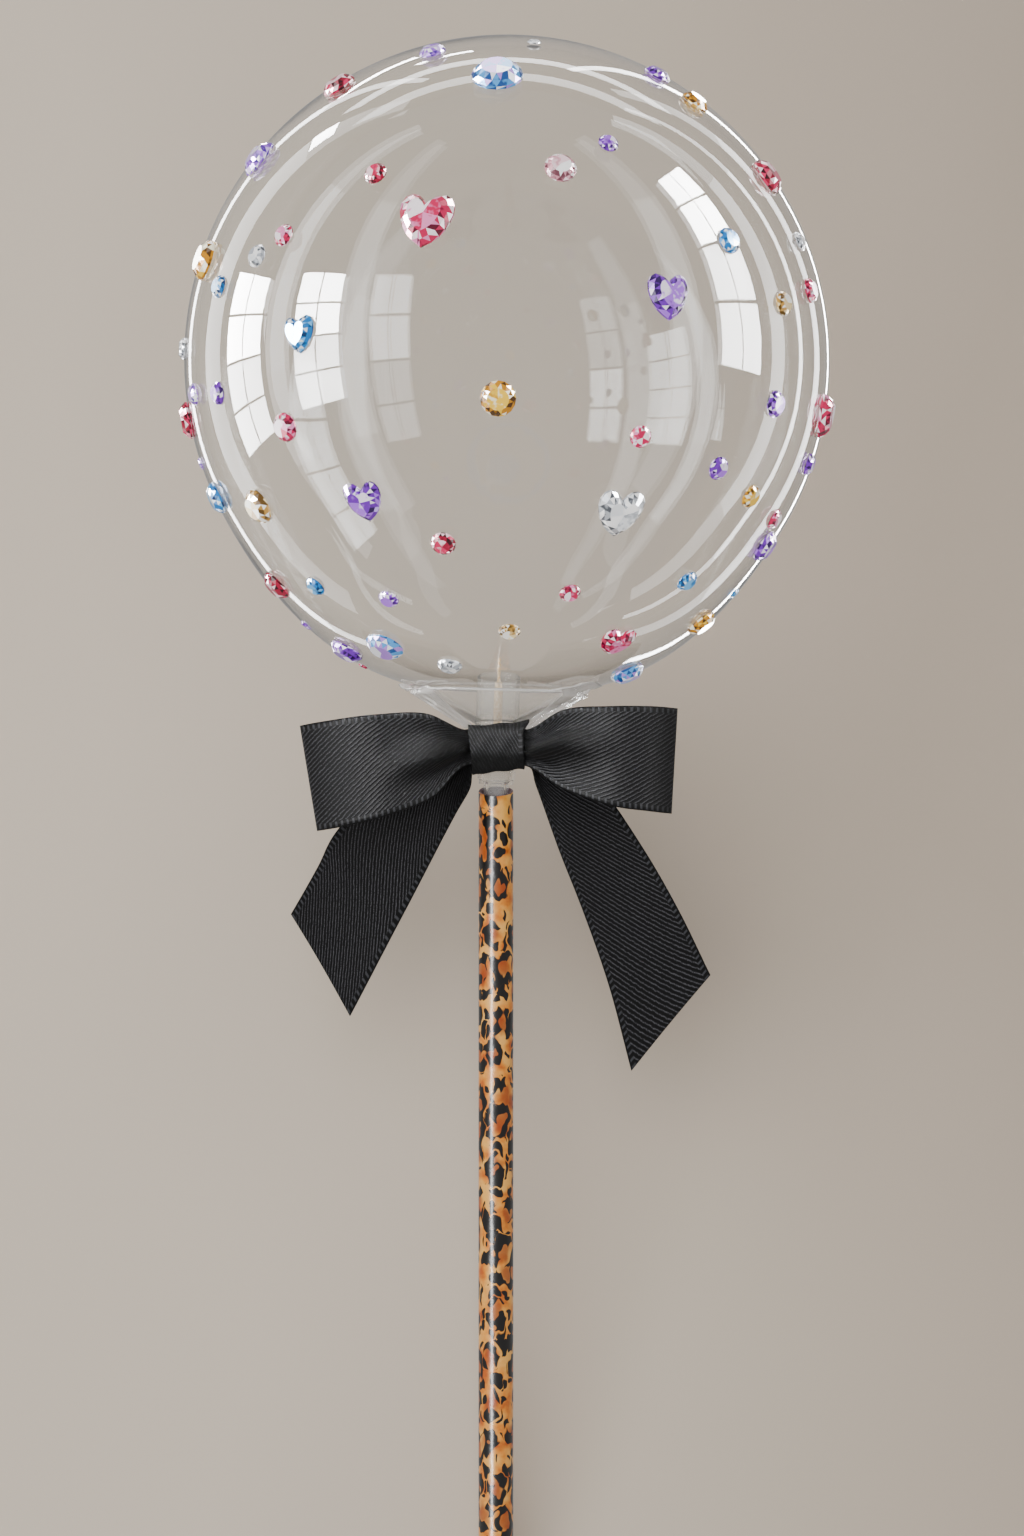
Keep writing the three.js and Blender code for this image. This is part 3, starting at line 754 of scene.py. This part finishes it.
def ribbon(name, edge_a, edge_b, sizes, steps, closed=False, lift=None, fold=None, cells=24,
           width=22.5):
    """A ribbon between two edge curves, given as (across, height, depth to the front) in mm.

    lift(point, share across, share along) is how far the cloth stands off the straight line
    between its edges, in millimetres. fold(point, share across) is painted shade, from 0 to 1:
    how far the ribbon's colour is darkened towards black, deepest in its folds. width is how far
    its UV map reaches across.
    """
    stations = steps if closed else steps + 1
    rows = []
    for i in range(stations):
        first, second = (curve_point(edge, i / steps, closed) for edge in (edge_a, edge_b))
        rows.append([first.lerp(second, j / cells) for j in range(cells + 1)])
    lengths = [0.0]
    for i in range(1, steps + 1):
        middle, last = rows[i % stations][cells // 2], rows[i - 1][cells // 2]
        lengths.append(lengths[-1] + (middle - last).length)
    mesh = bpy.data.meshes.new(name)
    shape = bmesh.new()
    uv = shape.loops.layers.uv.new("UVMap")
    # A layer named fold that holds each vertex's painted shade.
    depth = shape.verts.layers.float.new("fold")
    grid = []
    for i, row in enumerate(rows):
        after = rows[(i + 1) % stations] if closed or i + 1 < stations else row
        before = rows[i - 1] if closed or i else row
        grid.append([])
        for j, point in enumerate(row):
            normal = (after[j] - before[j]).cross(row[-1] - row[0]).normalized()
            raised = point + normal * (lift(point, j / cells, i / steps) if lift else 0)
            grid[-1].append(shape.verts.new(Vector((raised.x, -raised.z, raised.y)) * MM))
            grid[-1][-1][depth] = fold(point, j / cells) if fold else 0
    for i in range(steps):
        for j in range(cells):
            turn = (i + 1) % stations
            face = shape.faces.new((grid[i][j], grid[i][j + 1], grid[turn][j + 1], grid[turn][j]))
            corners = ((i, j), (i, j + 1), (i + 1, j + 1), (i + 1, j))
            for loop, (station, cell) in zip(face.loops, corners):
                loop[uv].uv = (width * cell / cells, lengths[station])
    shape.to_mesh(mesh)
    shape.free()
    obj = bpy.data.objects.new(name, mesh)
    bpy.context.scene.collection.objects.link(obj)
    modify(obj, "SOLIDIFY", thickness=sizes.thickness, offset=0, use_even_offset=True)
    place(obj, STICK_MATRIX)
    return obj, lengths[-1] * MM


KNOT_HALF = 6.9               # the layers run straight through the knot as far as this
KNOT_MIDDLE = -83.6
KNOT_WIDTH = 12
TIE_WIDTH = 10
TIE_RADIUS = 5.3
FRONT_LAYER, BACK_LAYER = 9.22, 8.2
BETWEEN_LAYERS = 8.8
PINCHED_HALF = 3.9            # of the loops' ribbon, gathered in the knot

# Stations from the knot to the outer fold: the upper edge, the lower edge, and the depths of
# the front and the back layer.
LOOP_LEFT = [
    ((-15, -76.2), (-13.5, -94.2), 12.6, 6.9),
    ((-26, -76.5), (-23, -98.0), 15.0, 5.4),
    ((-36, -77.8), (-32, -100.3), 13.4, 5.2),
]
FOLD_LEFT = ((-41.9, -78.8), (-38.2, -101.4), 9.4)
LOOP_RIGHT = [
    ((14.6, -75.4), (14, -92.2), 12.6, 6.9),
    ((24.5, -74.7), (24.5, -95.9), 15.0, 5.4),
    ((33.5, -74.7), (32.5, -97.1), 13.6, 5.2),
]
FOLD_RIGHT = ((38.9, -75.1), (37.6, -97.7), 9.4)

TAIL_OUTER = [
    (-44.7, -119.8, 0), (-38.8, -109.5, 1.2), (-33.8, -100.6, 2.2), (-20, -86.5, 3.8),
    (-11.5, -81.4, 5.6), (-KNOT_HALF, -79.7, 7.2), (0, -79.7, 7.2),
    (KNOT_HALF, -79.7, 7.2), (12, -82, 5.4), (22, -91, 3.6),
    (31.8, -105, 2.2), (40, -119.3, 1.4), (46.7, -133, 1),
]
TAIL_INNER = [
    (-31.8, -142, 0), (-24.9, -128.8, 1.2), (-18, -115.7, 2.2), (-9.3, -99, 3.8),
    (-5.6, -92.4, 5.9), (-4.6, -87.9, 7.2), (0, -87.5, 7.2),
    (KNOT_HALF, -87.5, 7.2), (8.8, -92, 5.4), (13.6, -105.5, 3.6),
    (19.3, -120, 2.2), (24.8, -136, 1.4), (29.5, -153.8, 1),
]


def loop_edge(side):
    """The upper (0) or lower (1) edge of both loops, from the knot round the right one first."""
    middle = KNOT_MIDDLE + (PINCHED_HALF, -PINCHED_HALF)[side]
    front, back = FRONT_LAYER, BACK_LAYER

    def layer(stations, depth):
        return [(*station[side], station[depth]) for station in stations]

    def fold(station):
        return (*station[side], station[2])

    return [
        (0, middle, front), (KNOT_HALF, middle, front), *layer(LOOP_RIGHT, 2), fold(FOLD_RIGHT),
        *reversed(layer(LOOP_RIGHT, 3)), (KNOT_HALF, middle, back), (0, middle, back),
        (-KNOT_HALF, middle, back), *layer(LOOP_LEFT, 3), fold(FOLD_LEFT),
        *reversed(layer(LOOP_LEFT, 2)), (-KNOT_HALF, middle, front),
    ]


def valley_at(point, share, spread):
    """The fold that runs from the knot along the middle of each loop, as a ridge from 0 to 1."""
    middle = 0.54 if point.x < 0 else 0.6 - 0.18 * smooth(7, 16, point.x)
    return math.exp(-((share - middle) / spread) ** 2)


def loop_painted_shade(point, share):
    """Painted shade in the fold, on the cloth where it enters the knot, and at the right loop's
    outer end.
    """
    out = abs(point.x)
    valley = valley_at(point, share, 0.08 + 0.007 * out) * (1 - smooth(10, 27, out))
    entry = 0.6 * (1 - smooth(6, 9, out))
    if point.x < 0:
        entry = max(entry, 0.75 * (1 - smooth(8, 17, out)) * (1 - smooth(0.5, 0.62, share)))
    far_end = 0.55 * smooth(31, 38, point.x)
    return min(1, valley + entry + far_end)


def tail_painted_shade(point, _):
    """Painted shade on the tails where the loops and the knot shade them, darkest near the knot."""
    return 0.7 * (1 - smooth(7, 15, abs(point.x)))


def loop_lift(point, share, _):
    """The pinch beside the knot: a deep fold along the middle, full cheeks above and below it."""
    out = abs(point.x)
    pinch = smooth(4.5, 10.5, out) * (1 - smooth(10.5, 27, out))
    valley = valley_at(point, share, 0.12)
    cheeks = math.exp(-((share - 0.22) / 0.15) ** 2) + math.exp(-((share - 0.78) / 0.15) ** 2)
    front = 1 if point.z > BETWEEN_LAYERS else -0.25
    gathers = 0.22 * math.sin(share * 2 * math.pi * 4) * (1 - smooth(6, 16, out))
    return front * (pinch * (1.3 * cheeks - 4.2 * valley)) + gathers


def tail_lift(point, share, along):
    """A soft curl across each tail, and small gathers where it enters the knot."""
    out = abs(point.x)
    gathers = 0.2 * math.sin(share * 2 * math.pi * 4) * (1 - smooth(6, 15, out))
    curl = 1.1 * math.sin(math.pi * share) * smooth(12, 26, out)
    ripple = 0.35 * math.sin(along * 40) * smooth(14, 30, out)
    return gathers + curl + ripple


class BUBBLE_OT_bow(bpy.types.Operator):
    """Tie the black ribbon bow: two loops, two slanting tails, the knot and the turn behind it"""
    bl_idname = "bubble.bow"
    bl_label = "Bow"

    def execute(self, context):
        sizes = context.scene.bubble_bow
        material = ribbon_material(sizes)
        loops, length = ribbon("bow_loops_ribbon", loop_edge(0), loop_edge(1), sizes, 320,
                               closed=True, lift=loop_lift, fold=loop_painted_shade)
        finish_piece(loops, material, "ribbon", "bow_loops")
        tails, length = ribbon("bow_tails_ribbon", TAIL_OUTER, TAIL_INNER, sizes, 220,
                               lift=tail_lift, fold=tail_painted_shade)
        finish_piece(tails, material, "ribbon", "bow_tails")
        knot, length = self.knot(sizes)
        finish_piece(knot, material, "ribbon", "bow_knot")
        tie, length = self.tie(sizes)
        finish_piece(tie, material, "ribbon", "bow_tie")
        return {"FINISHED"}

    def knot(self, sizes):
        """The band round the gathers: a rounded section, with a nub at the top right."""
        section = [
            (6.4, -79.6), (7.2, -78.75), (9.2, -78.5), (10.1, -79.0), (10.6, -80.4),
            (10.75, -82.6), (10.4, -85.2), (9.9, -87.4), (9.1, -88.65), (7.2, -88.5),
            (6.35, -87.6), (6.15, -83.6),
        ]
        edges = []
        for side in (-1, 1):
            edge = []
            for depth, height in section:
                share = smooth(-78.5, -88.7, height)
                across = side * 5.9 + (0.9 * share if side < 0 else 0.3 * share)
                nub = smooth(-80.4, -78.7, height) if side > 0 else 0
                edge.append((across + 1.3 * nub, height + side * (0.35 + 0.3 * share) + 0.5 * nub,
                             depth - 0.5 * nub))
            edges.append(edge)

        def barrel(point, share, _):
            rim = 0.25 * (1 - (2 * share - 1) ** 8)
            return rim + 0.12 * math.sin(share * 2 * math.pi * 2.5 + point.y)

        # Painted shade on the knot: darkest along its bottom, dark along its top, and a little all
        # over.
        def shade(point, _):
            lower, upper = smooth(-83, -86, point.y), smooth(-80.4, -78.9, point.y)
            return max(0.95 * lower, 0.75 * upper, 0.15)

        # Its ribs are drawn closer together, because it is pulled tight.
        return ribbon("bow_knot_ribbon", edges[1], edges[0], sizes, 96, closed=True, lift=barrel,
                      fold=shade, width=1.25 * KNOT_WIDTH)

    def tie(self, sizes):
        """The ribbon's folded turn round the stem, hidden from the front by the knot."""
        count = 12
        edges = []
        for height in (-79.1, -85.2):
            turns = (2 * math.pi * i / count for i in range(count))
            edges.append([(TIE_RADIUS * math.sin(t), height, TIE_RADIUS * math.cos(t))
                          for t in turns])

        def creases(point, share, _):
            return 0.33 * math.sin(share * 2 * math.pi * 4)

        return ribbon("bow_tie_ribbon", *edges, sizes, 72, closed=True, lift=creases, cells=36,
                      width=TIE_WIDTH)


# ---- The gathered film outside the cup ----

LIP_SHARE = 0.3               # of the skirt lies above the cup's rim
LIP_CURVE = 72                # radius of the ball where the lip lies on it
SKIRT_END = (6.4, -79.4)      # radius and height under the knot


class BUBBLE_OT_gather(bpy.types.Operator):
    """Wrap the balloon's spare film over the cup and down to the knot, creased and milky"""
    bl_idname = "bubble.gather"
    bl_label = "Gathered film"

    def execute(self, context):
        sizes = context.scene.bubble_ball
        material = crinkled_film_material()
        for side, middle in (("right", 0), ("left", 180)):
            skirt = start("grid", f"gathered_film_{side}", x_subdivisions=110, y_subdivisions=26,
                          size=1)
            for vertex in skirt.data.vertices:
                share = 0.5 - vertex.co.y
                reach = 56 - 12 * smooth(0, LIP_SHARE, share)
                turn = math.radians(middle + 2 * vertex.co.x * reach)
                vertex.co = self.skirt_point(turn, share, sizes.pleats) * MM
            edit(skirt, "FACE", lambda face: True)
            bpy.ops.mesh.normals_make_consistent(inside=False)
            bpy.ops.object.mode_set(mode="OBJECT")
            modify(skirt, "SOLIDIFY", thickness=0.12 * MM, offset=0)
            place(skirt, HEAD_MATRIX)
            finish_piece(skirt, material, "film")
            let_light_through(skirt)
        hem = start("torus", "gathered_hem", major_radius=(CUP_RADIUS - 0.3) * MM,
                    minor_radius=0.25 * MM, major_segments=128, minor_segments=10)
        for vertex in hem.data.vertices:
            vertex.co.z += (CUP_RIM + 0.5 + 0.35 * vertex.co.y / MM / CUP_RADIUS) * MM
        place(hem, HEAD_MATRIX)
        finish_piece(hem, material, "film")
        let_light_through(hem)
        return {"FINISHED"}

    def lip(self, turn):
        """How far the film's free edge reaches up past the cup's rim: an ear and a wide lobe."""
        ragged = 0.8 + 0.7 * noise.noise(Vector((3 * math.cos(turn), 3 * math.sin(turn), 2.0)))
        lobe = 6.0 * math.exp(-(angle_between(turn, -35) / 16) ** 4)
        ear = 2.6 * math.exp(-(angle_between(turn, 186) / 6) ** 2)
        return ragged + lobe + ear

    def skirt_point(self, turn, share, pleats):
        """A point of the skirt in millimetres: share 0 on its free edge, 1 under the knot."""
        crease = math.sin(pleats * turn / 2 + 3 * math.sin(2 * turn) + 3 * share)
        crease += 0.5 * math.sin(pleats * turn + 4 * math.cos(3 * turn))
        crease *= 0.1 + 1.1 * math.cos(turn) ** 2
        if share < LIP_SHARE:
            reach = self.lip(turn) * (1 - share / LIP_SHARE)
            latitude = math.degrees(math.atan2(CUP_RIM, CUP_RADIUS) + reach / LIP_CURVE)
            away = film_radius(latitude) / MM + 0.5 + 0.28 * crease
            away += 0.5 * (1 - smooth(0, 0.07, share))
            radius, height = (away * f(math.radians(latitude)) for f in (math.cos, math.sin))
        else:
            down = (share - LIP_SHARE) / (1 - LIP_SHARE)
            radius = CUP_RADIUS + 0.7 + (SKIRT_END[0] - CUP_RADIUS - 0.7) * down
            height = CUP_RIM - 0.5 + (SKIRT_END[1] - CUP_RIM + 0.5) * down
            radius += 0.3 * crease * (0.4 + down)
        right, back = math.cos(turn), math.sin(turn)
        ruffle = noise.noise(Vector((radius * right / 2, radius * back / 2, height)))
        radius += 0.35 * ruffle * (0.3 + 0.7 * right ** 2)
        return Vector((radius * right, radius * back, height))


def angle_between(turn, degrees):
    """How many degrees lie between a turn in radians and a direction in degrees."""
    return abs((math.degrees(turn) - degrees + 180) % 360 - 180)


# ---- The stones ----

def round_master():
    """A round cut stone one unit wide, its base on Z = 0: girdle, two rings of kites, a table."""
    stone = start("cylinder", "round_stone", vertices=16, radius=0.5, depth=0.06,
                  location=(0, 0, 0.03))
    crown(stone, [(0.86, 0.1), (0.72, 0.1)], 11.25)
    return stone


def heart_master():
    """A heart-shaped cut stone one unit wide, its base on Z = 0."""
    count = 26
    stone = start("cylinder", "heart_stone", vertices=count, radius=0.5, depth=0.06,
                  location=(0, 0, 0.03))
    for index, vertex in enumerate(stone.data.vertices):
        turn = math.atan2(vertex.co.x, vertex.co.y)
        out = abs(math.sin(turn))
        width = out ** 2.4
        if math.cos(turn) < 0:
            width = out ** 2 * (1 + 0.3 * (1 - out) + 3.6 * out * (1 - out) ** 2)
        width = math.copysign(width, turn)
        height = (13 * math.cos(turn) - 5 * math.cos(2 * turn) - 2 * math.cos(3 * turn)
                  - math.cos(4 * turn)) / 16
        vertex.co = (width * 0.5, height * 0.56 + 0.05, vertex.co.z)
    crown(stone, [(0.84, 0.1), (0.74, 0.09)], 0)
    return stone


def crown(stone, rings, turn):
    """Cuts the facets above the girdle: each ring is scaled in, lifted and turned half a step."""
    edit(stone, "FACE", lambda face: face.normal.z > 0.9)
    for scale, lift in rings:
        bpy.ops.mesh.extrude_region_move(TRANSFORM_OT_translate={"value": (0, 0, lift)})
        bpy.ops.transform.resize(value=(scale, scale, 1), center_override=(0, 0, 0))
        if turn:
            bpy.ops.transform.rotate(value=math.radians(turn), orient_axis="Z",
                                     center_override=(0, 0, 0))
    bpy.ops.mesh.poke()
    bpy.ops.mesh.select_all(action="SELECT")
    bpy.ops.mesh.quads_convert_to_tris(quad_method="SHORTEST_DIAGONAL")
    bpy.ops.mesh.normals_make_consistent(inside=False)
    bpy.ops.object.mode_set(mode="OBJECT")


def facet_order(stone):
    """The faces' numbers in order of their place. Modelling leaves them in a new order each run."""
    def place_of(index):
        middle = stone.data.polygons[index].center
        turn = (math.atan2(middle.y, middle.x) + 0.1) % (2 * math.pi)
        return round(middle.z, 3), round(turn, 3), round(middle.xy.length, 3)
    return sorted(range(len(stone.data.polygons)), key=place_of)


def stone_seat(node):
    """Where a stone's CAD solid sits: the middle of its back, and its width."""
    corners = [v.co.copy() for v in frame["nodes"][node].data.vertices]
    back = min(corners, key=lambda corner: (corner - CENTRE).length)
    outward = (back - CENTRE).normalized()
    across = HEAD_ALONG.cross(outward).normalized()
    reach = [corner.dot(across) for corner in corners]
    return back, max(reach) - min(reach)


def ball_seat(longitude, latitude):
    """A place on the ball, from the longitude to the right of the front and the latitude."""
    turn, rise = math.radians(longitude), math.radians(latitude)
    outward = ((FACING * math.cos(turn) + HEAD_ACROSS * math.sin(turn)) * math.cos(rise)
               + HEAD_ALONG * math.sin(rise))
    return CENTRE + outward * film_radius(latitude)


# Small stones too fine for solids: colour, longitude, latitude, width in mm.
SMALL_STONES = [
    ("clear", 8, 65, 3.0), ("lilac", -84, -20, 3.0), ("blue", 80, -44, 3.0),
    ("purple", -83, -54, 3.0), ("pink", -85, -66, 2.6),
]


class BUBBLE_OT_stones(bpy.types.Operator):
    """Glue the cut-glass rounds and hearts over the ball"""
    bl_idname = "bubble.stones"
    bl_label = "Stones"

    def execute(self, context):
        sizes = context.scene.bubble_stones
        self.chance = random.Random(sizes.seed)
        self.materials = {colour: stone_material(colour) for colour in STONE_TONES}
        masters = {"round": round_master(), "heart": heart_master()}
        orders = {shape: facet_order(master) for shape, master in masters.items()}
        for node in sorted(name for name in frame["nodes"] if name.startswith("gem_")):
            _, number, colour, shape = node.split("_")
            back, width = stone_seat(node)
            stone = self.glue(masters[shape], orders[shape], f"stone_{number}_{colour}", back,
                              width, sizes)
            finish_piece(stone, self.materials[colour], f"stone_{colour}", node, angle=1)
        for number, (colour, longitude, latitude, width) in enumerate(SMALL_STONES, 1):
            stone = self.glue(masters["round"], orders["round"], f"small_stone_{number}_{colour}",
                              ball_seat(longitude, latitude), width * MM, sizes)
            finish_piece(stone, self.materials[colour], f"stone_{colour}", angle=1)
        for master in masters.values():
            activate(master)
            bpy.ops.object.delete()
        return {"FINISHED"}

    def glue(self, master, order, name, back, width, sizes):
        """Copies a master stone on to the ball, and gives its facets their painted tones."""
        activate(master)
        bpy.ops.object.duplicate()
        stone = bpy.context.object
        stone.name = stone.data.name = name
        outward = (back - CENTRE).normalized()
        across = HEAD_ALONG.cross(outward).normalized()
        seat = Matrix((across, outward.cross(across), outward)).transposed().to_4x4()
        seat.translation = back - outward * sizes.sink
        turn = Matrix.Rotation(math.radians(self.chance.uniform(-5, 5)), 4, "Z")
        place(stone, seat @ turn @ Matrix.Scale(width, 4))
        self.paint_facet_reflections(stone, order, seat, outward)
        return stone

    def paint_facet_reflections(self, stone, order, seat, outward):
        """Painted reflections: a tone from dark to glint for each facet of the crown, and one for
        each wide sector of the table.
        """
        sectors = 5
        start_turn = self.chance.random()
        table = [self.chance.uniform(0.45, 0.9) for _ in range(sectors)]
        facet = stone.data.attributes.new("facet", "FLOAT", "FACE")
        turned_back = seat.inverted()
        for index in order:
            polygon = stone.data.polygons[index]
            tone = self.chance.choice((0.05, 0.2, 0.3, 0.4, 0.65, 0.95))
            if polygon.normal.dot(outward) > 0.97:
                middle = turned_back @ polygon.center
                turn = math.atan2(middle.y, middle.x) / (2 * math.pi) + 0.5 + start_turn
                tone = table[int(turn * sectors) % sectors]
            facet.data[index].value = tone


# ---- The stage ----

# Windows that the film mirrors: degrees to the right of the front, degrees of height where they
# start and end, degrees of width, and their strength.
WINDOWS = [
    (-103, -16, 21, 20, 1.0), (-68, -14, 23, 19, 1.0), (-40, -30, 23, 14, 0.06),
    (88, -2, 50, 20, 1.0),
]
# Pale strips of wall and curtain between them, which the film mirrors as long arcs.
STRIPS = [
    (-150, -50, 62, 4, 0.12), (-124, -45, 66, 12, 0.05), (-86, -50, 70, 9, 0.045),
    (-54, -50, 70, 10, 0.025), (64, -50, 70, 12, 0.025), (108, -55, 66, 8, 0.07),
    (124, -55, 62, 3, 0.14), (140, -50, 60, 6, 0.06), (160, -55, 60, 3, 0.26),
]
# Lamps under the ceiling, mirrored as glints near the ball's top.
GLINTS = [
    (-127, 44, 50, 8, 0.55), (-160, 40, 42, 16, 0.3), (-168, 48, 49.5, 12, 0.3),
    (180, 57, 61, 90, 0.06), (180, 69, 74, 120, 0.05),
]
# Soft lamps that only the straw, or only the bow, mirrors.
STICK_LAMPS = [(-27, -75, 60, 13, 0.18)]
BOW_LAMPS = [(-30, -20, 40, 36, 0.03), (50, -10, 40, 20, 0.02)]
WINDOW_DISTANCE = 1.8
WINDOW_COLUMNS, WINDOW_ROWS = 2, 4
PANE_RADIANCE = 160           # of a bright pane, in watts a square metre a steradian
KEY_WIDTH, KEY_POWER = 2.6, 56
ROOM_STRENGTH = 0.5
FLOOR_DROP = 0.3              # keeps the floor's surface off the pieces that lie on it
AIM_ACROSS, AIM_ALONG = 3.5, -87.9      # what the camera looks at, from the ball's centre


class BUBBLE_OT_stage(bpy.types.Operator):
    """Set the floor, the soft light, the windows that the film mirrors, and the camera"""
    bl_idname = "bubble.stage"
    bl_label = "Stage"

    def execute(self, context):
        sizes = context.scene.bubble_stage
        floor = start("plane", "floor", size=40, location=(0, 0, -FLOOR_DROP * MM))
        place(floor, Matrix.Identity(4))
        # The film mirrors the room behind it, as it does when it is held up, and not the floor.
        floor.visible_glossy = False
        floor.data.materials.append(floor_material(sizes))
        aim = ORIGIN + ACROSS * AIM_ACROSS * MM + ALONG * AIM_ALONG * MM
        self.lights(context, aim)
        self.camera(context, sizes, aim)
        return {"FINISHED"}

    def camera(self, context, sizes, aim):
        """Sets the camera square to the stick, framing view_height of the stick's plane."""
        data = bpy.data.cameras.new("Camera")
        camera = bpy.data.objects.new("Camera", data)
        context.scene.collection.objects.link(camera)
        camera.matrix_world = looking(aim + FACING * sizes.distance, -FACING, ALONG)
        data.lens = data.sensor_width * sizes.distance / sizes.view_height
        data.clip_start = 0.01
        context.scene.camera = camera

    def lights(self, context, aim):
        """A soft room and key light for all, and what each shiny piece mirrors."""
        world = bpy.data.worlds.new("Soft_room")
        world.use_nodes = True
        background = world.node_tree.nodes["Background"]
        background.inputs["Color"].default_value = linear("#F2F0EE")
        background.inputs["Strength"].default_value = ROOM_STRENGTH
        context.scene.world = world
        key = area_lamp(context, "Soft_key", aim + (FACING * 1.9 - ACROSS * 0.9 + ALONG * 0.5),
                        aim, KEY_WIDTH, KEY_WIDTH, KEY_POWER)
        key.visible_glossy = key.visible_transmission = False
        ball = self.collection(context, "Mirroring",
                               ("balloon", "gathered", "stone", "small_stone"))
        stick = self.collection(context, "Stick", ("leopard",))
        bow = self.collection(context, "Bow", ("bow_loops", "bow_knot"))
        for window in WINDOWS:
            self.window(context, ball, *window, WINDOW_COLUMNS, WINDOW_ROWS)
        for strip in STRIPS:
            self.strip(context, ball, *strip)
        for lit, lamps in ((ball, GLINTS), (stick, STICK_LAMPS), (bow, BOW_LAMPS)):
            for lamp in lamps:
                self.window(context, lit, *lamp)

    def collection(self, context, name, starts):
        """The pieces whose names start so, for lamps that light only them."""
        collection = bpy.data.collections.new(name)
        for piece in context.scene.objects:
            if piece.name.startswith(starts) and piece.name not in frame["nodes"]:
                collection.objects.link(piece)
        return collection

    def strip(self, context, lit, right, low, high, width, strength, parts=5):
        """A tall strip that fades towards its ends."""
        step = (high - low) / parts
        for part in range(parts):
            fade = math.sin(math.pi * (part + 0.5) / parts) ** 0.7
            self.window(context, lit, right, low + step * part, low + step * (part + 1), width,
                        strength * fade, gap=0)

    def window(self, context, lit, right, low, high, width, strength, columns=1, rows=1, gap=0.06):
        """A tall window as panes with glazing bars between them, dimmer in its lower half.

        Only the pieces in the collection lit are lit by it.
        """
        turn = math.radians(right)
        outward = FACING * math.cos(turn) + ACROSS * math.sin(turn)
        sideways = ALONG.cross(outward)
        bottom, top = (WINDOW_DISTANCE * math.tan(math.radians(angle)) for angle in (low, high))
        pane_width = 2 * WINDOW_DISTANCE * math.tan(math.radians(width / 2)) / columns
        pane_height = (top - bottom) / rows
        for column in range(columns):
            for row in range(rows):
                across = (column + 0.5 - columns / 2) * pane_width
                up = bottom + (row + 0.5) * pane_height
                middle = CENTRE + outward * WINDOW_DISTANCE + sideways * across + ALONG * up
                radiance = PANE_RADIANCE * strength * (1 if row >= (rows - 1) / 2 else 0.4)
                size = (pane_width * (1 - gap), pane_height * (1 - gap))
                pane = area_lamp(context, "Pane", middle, middle - outward, *size,
                                 radiance * math.pi * size[0] * size[1])
                pane.visible_diffuse = False
                pane.light_linking.receiver_collection = lit


def looking(position, direction, up):
    """The matrix of a lamp or camera at a position, looking along a direction."""
    back = -direction.normalized()
    right = up.cross(back).normalized()
    matrix = Matrix((right, back.cross(right), back)).transposed().to_4x4()
    matrix.translation = position
    return matrix


def area_lamp(context, name, position, target, width, height, power):
    """A rectangular lamp facing a point, which the camera doesn't see."""
    data = bpy.data.lights.new(name, "AREA")
    data.shape = "RECTANGLE"
    data.size, data.size_y = width, height
    data.energy = power
    lamp = bpy.data.objects.new(name, data)
    context.scene.collection.objects.link(lamp)
    lamp.matrix_world = looking(position, target - position, ALONG)
    lamp.visible_camera = False
    return lamp


# ---- The add-on's panel ----

OPERATORS = [
    BUBBLE_OT_balloon, BUBBLE_OT_gather, BUBBLE_OT_cup, BUBBLE_OT_stick, BUBBLE_OT_bow,
    BUBBLE_OT_stones, BUBBLE_OT_stage,
]


class BUBBLE_PT_pieces(bpy.types.Panel):
    """Lists the balloon's pieces and their sizes"""
    bl_idname = "BUBBLE_PT_pieces"
    bl_label = "Bubble balloon"
    bl_space_type = "VIEW_3D"
    bl_region_type = "UI"
    bl_category = "Bubble"

    def draw(self, context):
        for operator in OPERATORS:
            self.layout.operator(operator.bl_idname)
        for name, group in GROUPS.items():
            box = self.layout.box()
            for key in group.__annotations__:
                box.prop(getattr(context.scene, name), key)


def register():
    for kind in (*GROUPS.values(), *OPERATORS, BUBBLE_PT_pieces):
        bpy.utils.register_class(kind)
    for name, group in GROUPS.items():
        setattr(bpy.types.Scene, name, bpy.props.PointerProperty(type=group))


def unregister():
    for name in GROUPS:
        delattr(bpy.types.Scene, name)
    for kind in reversed((*GROUPS.values(), *OPERATORS, BUBBLE_PT_pieces)):
        bpy.utils.unregister_class(kind)


def main():
    register()
    bpy.ops.bubble.balloon()
    bpy.ops.bubble.gather()
    bpy.ops.bubble.cup()
    bpy.ops.bubble.stick()
    bpy.ops.bubble.bow()
    bpy.ops.bubble.stones()
    bpy.ops.bubble.stage()


if __name__ == "__main__":
    main()
